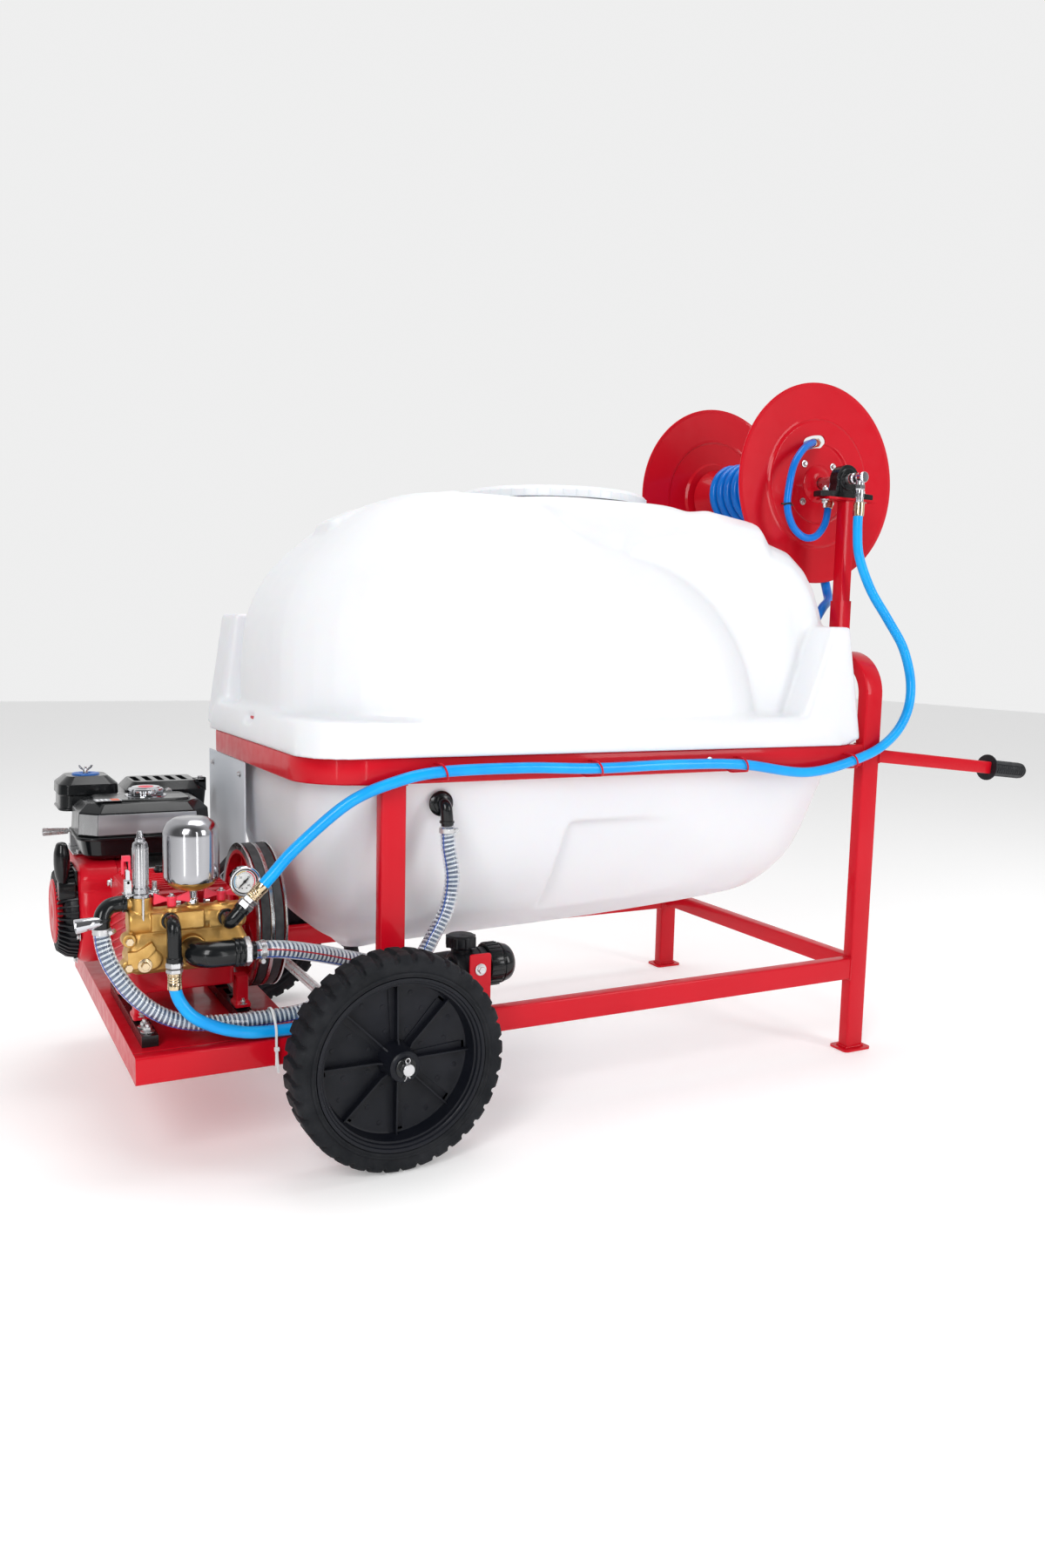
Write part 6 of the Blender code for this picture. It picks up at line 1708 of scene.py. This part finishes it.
    bend = smooth_route([(-0.4318, -0.320, 0.480), (-0.446, -0.3205, 0.480), (-0.459, -0.3230, 0.4775),
                         (-0.4695, -0.3290, 0.4690), (-0.4738, -0.3335, 0.4580), (-0.4742, -0.3345, 0.4430)],
                         0.002)
    rims = [lathe(rounded([(0.009, 0), (0.0155, 0), (0.0155, 0.008), (0.009, 0.008)], 0.0015, 3, True), "-X",
                  (-0.4300, -0.320, 0.480), 32),
            lathe(rounded([(0.009, 0), (0.0160, 0), (0.0160, 0.006), (0.009, 0.006)], 0.0015, 3, True), "-Z",
                  (-0.4742, -0.3342, 0.4600), 32)]
    piece("return_elbow_moulding", "cart", "gloss", pipe(bend, 0.0142, 28), *rims, replaces="return_elbow",
          sharp=40)
    sleeve = [(0.0040, 0), (0.0085, 0), (0.0090, 0.004), (0.0105, 0.014), (0.0128, 0.043), (0.0122, 0.045),
              (0.0110, 0.0445), (0.0040, 0.027)]
    piece("return_clamp_sleeve", "cart", "chrome",
          lathe(sleeve, (-1, -0.02, -0.12), (-0.4740, -0.340, 0.4560), 40))
    piece("return_clamps", "cart", "steel",
          *clamp_on((-0.4741, -0.3342, 0.4420), Vector((0, -0.03, -1)), 0.0150, (1, -0.5, 0), 0.010),
          *clamp_on((0.1520, -0.4000, 0.5860), "+Z", 0.0150, (1, -0.4, 0), 0.009))


def digits(value, at, size):
    """Dial figures as thin solid shapes facing -Y."""
    curve = bpy.data.curves.new("digits", "FONT")
    curve.body = value
    curve.size = size
    curve.extrude = 0.00015
    curve.align_x = "CENTER"
    curve.align_y = "CENTER"
    obj = bpy.data.objects.new("digits", curve)
    bpy.context.scene.collection.objects.link(obj)
    bpy.context.view_layer.update()
    mesh = bpy.data.meshes.new_from_object(obj.evaluated_get(bpy.context.evaluated_depsgraph_get()))
    shape = (np.array([v.co for v in mesh.vertices]), [tuple(f.vertices) for f in mesh.polygons])
    bpy.data.objects.remove(obj, do_unlink=True)
    return moved(shape, Matrix.Translation(at) @ Matrix.Rotation(math.pi / 2, 4, "X"))


# Suction filter and tank fittings

def make_filter():
    x, y, z = 0.235, -0.330, 0.295
    head = [
        lathe(rounded([(0, -0.040), (0.030, -0.040), (0.034, -0.036), (0.036, -0.026), (0.036, 0.034),
                       (0, 0.034)], 0.003, 3), "+X", (x, y, z), 56),
        lathe(rounded([(0, 0), (0.0200, 0), (0.0200, 0.040), (0.0300, 0.044), (0.0300, 0.064), (0.026, 0.068),
                       (0, 0.068)], 0.003),
              "+Z", (x - 0.018, y, z), 40),
        drum(0.0180, "-X", (x - 0.030, y, z), 0.030, 0.002, 36, 4),
        hexagon(0.0400, "-X", (x - 0.034, y, z), 0.0120),
    ]
    for k in range(3):
        band = [(r, h + k * 0.018)
                for r, h in ((0.030, -0.020), (0.0378, -0.019), (0.0378, -0.016), (0.030, -0.015))]
        head.append(lathe(band, "+X", (x, y, z), 56))
    head += around(drum(0.0050, "+Z", (0.0275, 0, 0), 0.022, 0.0015, 16), 8,
                   Matrix.Translation((x - 0.018, y, z + 0.043)))
    piece("filter_head", "cart", "black", *head, replaces="filter_body", edge=0.0006, sharp=40)
    at = (x + 0.0343, y, z)
    nut = lathe(rounded([(0.030, 0), (0.0435, 0), (0.0435, 0.028), (0.038, 0.0295), (0.030, 0.0295)], 0.002,
                        3, True), "+X", at, 64)
    ribs = around(block((0.0425, -0.0019, 0.002), (0.0450, 0.0019, 0.027)), 26, facing("+X", at))
    bowl = lathe(rounded([(0, 0.064), (0.012, 0.064), (0.026, 0.061), (0.0365, 0.052), (0.0400, 0.040),
                          (0.0400, 0.020), (0, 0.020)], 0.006, 5), "+X", at, 64)
    ring = lathe([(0.036, 0.033), (0.0415, 0.033), (0.0415, 0.036), (0.036, 0.036)], "+X", at, 64)
    piece("filter_bowl_and_nut", "filter_bowl", "gloss", nut, *ribs, bowl, ring, replaces="filter_bowl",
          edge=0.0006)
    tab = prism(rounded([(0.215, 0.2200), (0.262, 0.2200), (0.262, 0.332), (0.215, 0.332)], 0.006, 3, True),
                0.004, "XZ", -0.3800)
    piece("filter_bracket", "cart", "paint", tab, block((0.215, -0.3800, 0.2200), (0.262, -0.366, 0.2290)),
          edge=0.001)
    piece("filter_bracket_bolt", "cart", "steel", *bolt((0.2385, -0.3800, 0.300), "-Y", 0.013), edge=0.0004)

    route = smooth_route([(0.100, 0, 0.2740), (0.100, 0, 0.262), (0.108, -0.010, 0.240),
                          (0.140, -0.050, 0.231), (0.185, -0.110, 0.245),
                          (0.225, -0.190, 0.272), (0.235, -0.250, 0.290), (0.235, -0.2935, 0.294)], 0.004)
    piece("tank_outlet_hose", "cart", "black", pipe(route, lambda i: 0.0158 + (0.0005 if i % 2 else 0), 28),
          lathe(rounded([(0, 0), (0.0240, 0), (0.0240, 0.006), (0.019, 0.010), (0, 0.010)], 0.001), "-Z",
                (0.100, 0, 0.2795), 36),
          replaces="tank_outlet", sharp=60)
    knob = drum(0.0220, "-Z", (0.205, 0.052, 0.3005), 0.012, 0.0015, 40, 4)
    ribs = around(block((0.0205, -0.0014, 0), (0.0232, 0.0014, 0.012)), 24,
                  facing("-Z", (0.205, 0.052, 0.3005)))
    piece("sump_inlet_nut", "cart", "black", knob, *ribs, edge=0.0004)

    fx, wall_y, fz = 0.148, -0.3760, 0.640
    flange = lathe(rounded([(0, 0), (0.0250, 0), (0.0250, 0.004), (0.0190, 0.008), (0, 0.008)], 0.0012, 3),
                   "-Y", (fx, wall_y, fz), 48)
    hexed = hexagon(0.0330, "-Y", (fx, wall_y - 0.004, fz), 0.0075)
    route = smooth_route([(fx, wall_y - 0.006, fz), (fx, wall_y - 0.016, fz),
                          (fx + 0.001, wall_y - 0.0225, fz - 0.006),
                          (fx + 0.002, wall_y - 0.024, fz - 0.016), (fx + 0.004, wall_y - 0.024, fz - 0.040)],
                          0.002)
    lip = lathe([(0.0115, 0), (0.0145, 0.001), (0.0145, 0.005), (0.0115, 0.006)], "-Z",
                (fx + 0.003, wall_y - 0.024, fz - 0.030), 32)
    piece("return_inlet_moulding", "cart", "gloss", flange, hexed, pipe(route, 0.0122, 28), lip,
          replaces="return_inlet", sharp=40)


def make_clips_and_ties():
    clips = []
    for x, z in ((0.121, 0.708), (0.461, 0.704), (0.827, 0.701), (1.140, 0.700)):
        ring = [(x + 0.0010 * i, *polar(0.0150, a, -0.430, z))
                for i, a in enumerate(range(75, 265, 12))]
        tail = [(x - 0.0005, -0.4105, z + 0.0140), (x - 0.0002, -0.4200, z + 0.0150)]
        hook = [(x - 0.004, -0.4215, z - 0.0165), (x - 0.014, -0.4160, z - 0.0165),
                (x - 0.021, -0.4105, z - 0.0120)]
        line = smooth_route(tail + ring + hook, 0.0012)
        clips.append(pipe(line, 0.0020, 10))
    piece("supply_hose_clips", "cart", "paint", *clips)
    x = -0.188
    loop = rounded([(-0.4145, 0.1735), (-0.4145, 0.2480), (-0.386, 0.2745), (-0.366, 0.2740), (-0.358, 0.258),
                    (-0.3765, 0.228), (-0.3775, 0.1735)], 0.010, 4, True)
    points = []
    for y, z in loop:
        away = (Vector((y, z)) - Vector((-0.392, 0.222))).normalized() * 0.0012
        for dx, grow in ((-0.0022, 0), (0.0022, 0), (0.0022, 1), (-0.0022, 1)):
            points.append((x + dx, y + away.x * grow, z + away.y * grow))
    shapes = [(np.array(points), between_rings(len(loop), 4, True)),
              block((x - 0.0042, -0.4200, 0.2060), (x + 0.0042, -0.4140, 0.2125))]
    tail = smooth_route([(x, -0.4175, 0.209), (x, -0.4185, 0.197), (x + 0.001, -0.4190, 0.182),
                         (x + 0.003, -0.4175, 0.165)], 0.003)
    shapes.append(flat_strip(tail, 0.0042, 0.0012))
    piece("hose_cable_tie", "cart", "tie_white", *shapes, slot="white_polyethylene", edge=0.0003)


def flat_strip(path, wide, thick):
    """A flat band along a path, wide along X and thick towards -Y."""
    points = []
    for p in path:
        points += [(p.x + dx, p.y + dy, p.z)
                   for dx, dy in ((-wide / 2, 0), (wide / 2, 0), (wide / 2, -thick), (-wide / 2, -thick))]
    return np.array(points), between_rings(len(path), 4) + ends_of(len(path), 4)


make_engine()
make_drive()
make_pump()
make_filter()
make_clips_and_ties()


# Studio

def make_studio():
    floor = bpy.data.meshes.new("floor")
    floor.from_pydata([(-14, -14, 0), (14, -14, 0), (14, 14, 0), (-14, 14, 0)], [], [(0, 1, 2, 3)])
    ground = bpy.data.objects.new("floor", floor)
    bpy.context.scene.collection.objects.link(ground)
    ground.location.z = -0.0005
    pale = material("studio_floor", (0.86, 0.86, 0.86), 0.75, Emission_Strength=0.22)
    rough_from(pale, noise(pale, 6), 0.70, 0.80)
    floor.materials.append(pale)
    world = bpy.data.worlds.new("studio")
    bpy.context.scene.world = world
    world.use_nodes = True
    tree = world.node_tree
    place = tree.nodes.new("ShaderNodeTexCoord")
    toward = tree.nodes.new("ShaderNodeVectorMath")
    toward.operation = "DOT_PRODUCT"
    toward.inputs[1].default_value = (0.45, 0.89, 0.0)
    ranged = tree.nodes.new("ShaderNodeMapRange")
    ranged.interpolation_type = "SMOOTHSTEP"
    for socket, value in (("From Min", -0.55), ("From Max", 0.35), ("To Min", 0.15), ("To Max", 0.86)):
        ranged.inputs[socket].default_value = value
    tree.links.new(place.outputs["Generated"], toward.inputs[0])
    tree.links.new(toward.outputs["Value"], ranged.inputs["Value"])
    tree.links.new(ranged.outputs["Result"], tree.nodes["Background"].inputs["Strength"])
    tree.nodes["Background"].inputs["Color"].default_value = (1.0, 1.0, 1.0, 1)
    for name, at, aim, size, power in (
        ("key", (-3.3, -3.6, 3.2), (0.0, 0.0, 0.6), (1.6, 3.0), 140),
        ("fill", (2.6, -4.2, 2.2), (0.0, 0.0, 0.6), (1.2, 2.6), 70),
        ("top", (0.2, 0.4, 4.6), (0.0, 0.0, 0.6), (2.4, 2.4), 60),
        ("strip_left", (-1.57 + AXLE_X, -1.88, 0.85), (-0.32 + AXLE_X, -0.32, 0.85), (0.10, 1.5), 2.6),
        ("strip_right", (0.12 + AXLE_X, -2.27, 0.85), (-0.32 + AXLE_X, -0.32, 0.85), (0.10, 1.5), 2.6),
    ):
        data = bpy.data.lights.new(name, "AREA")
        data.shape = "RECTANGLE"
        data.size, data.size_y = size
        data.energy = power
        lamp = bpy.data.objects.new(name, data)
        bpy.context.scene.collection.objects.link(lamp)
        lamp.location = at
        lamp.visible_camera = False
        lamp.rotation_euler = (Vector(aim) - Vector(at)).to_track_quat("-Z", "Y").to_euler()
    bpy.context.scene.view_settings.view_transform = "Standard"


make_studio()
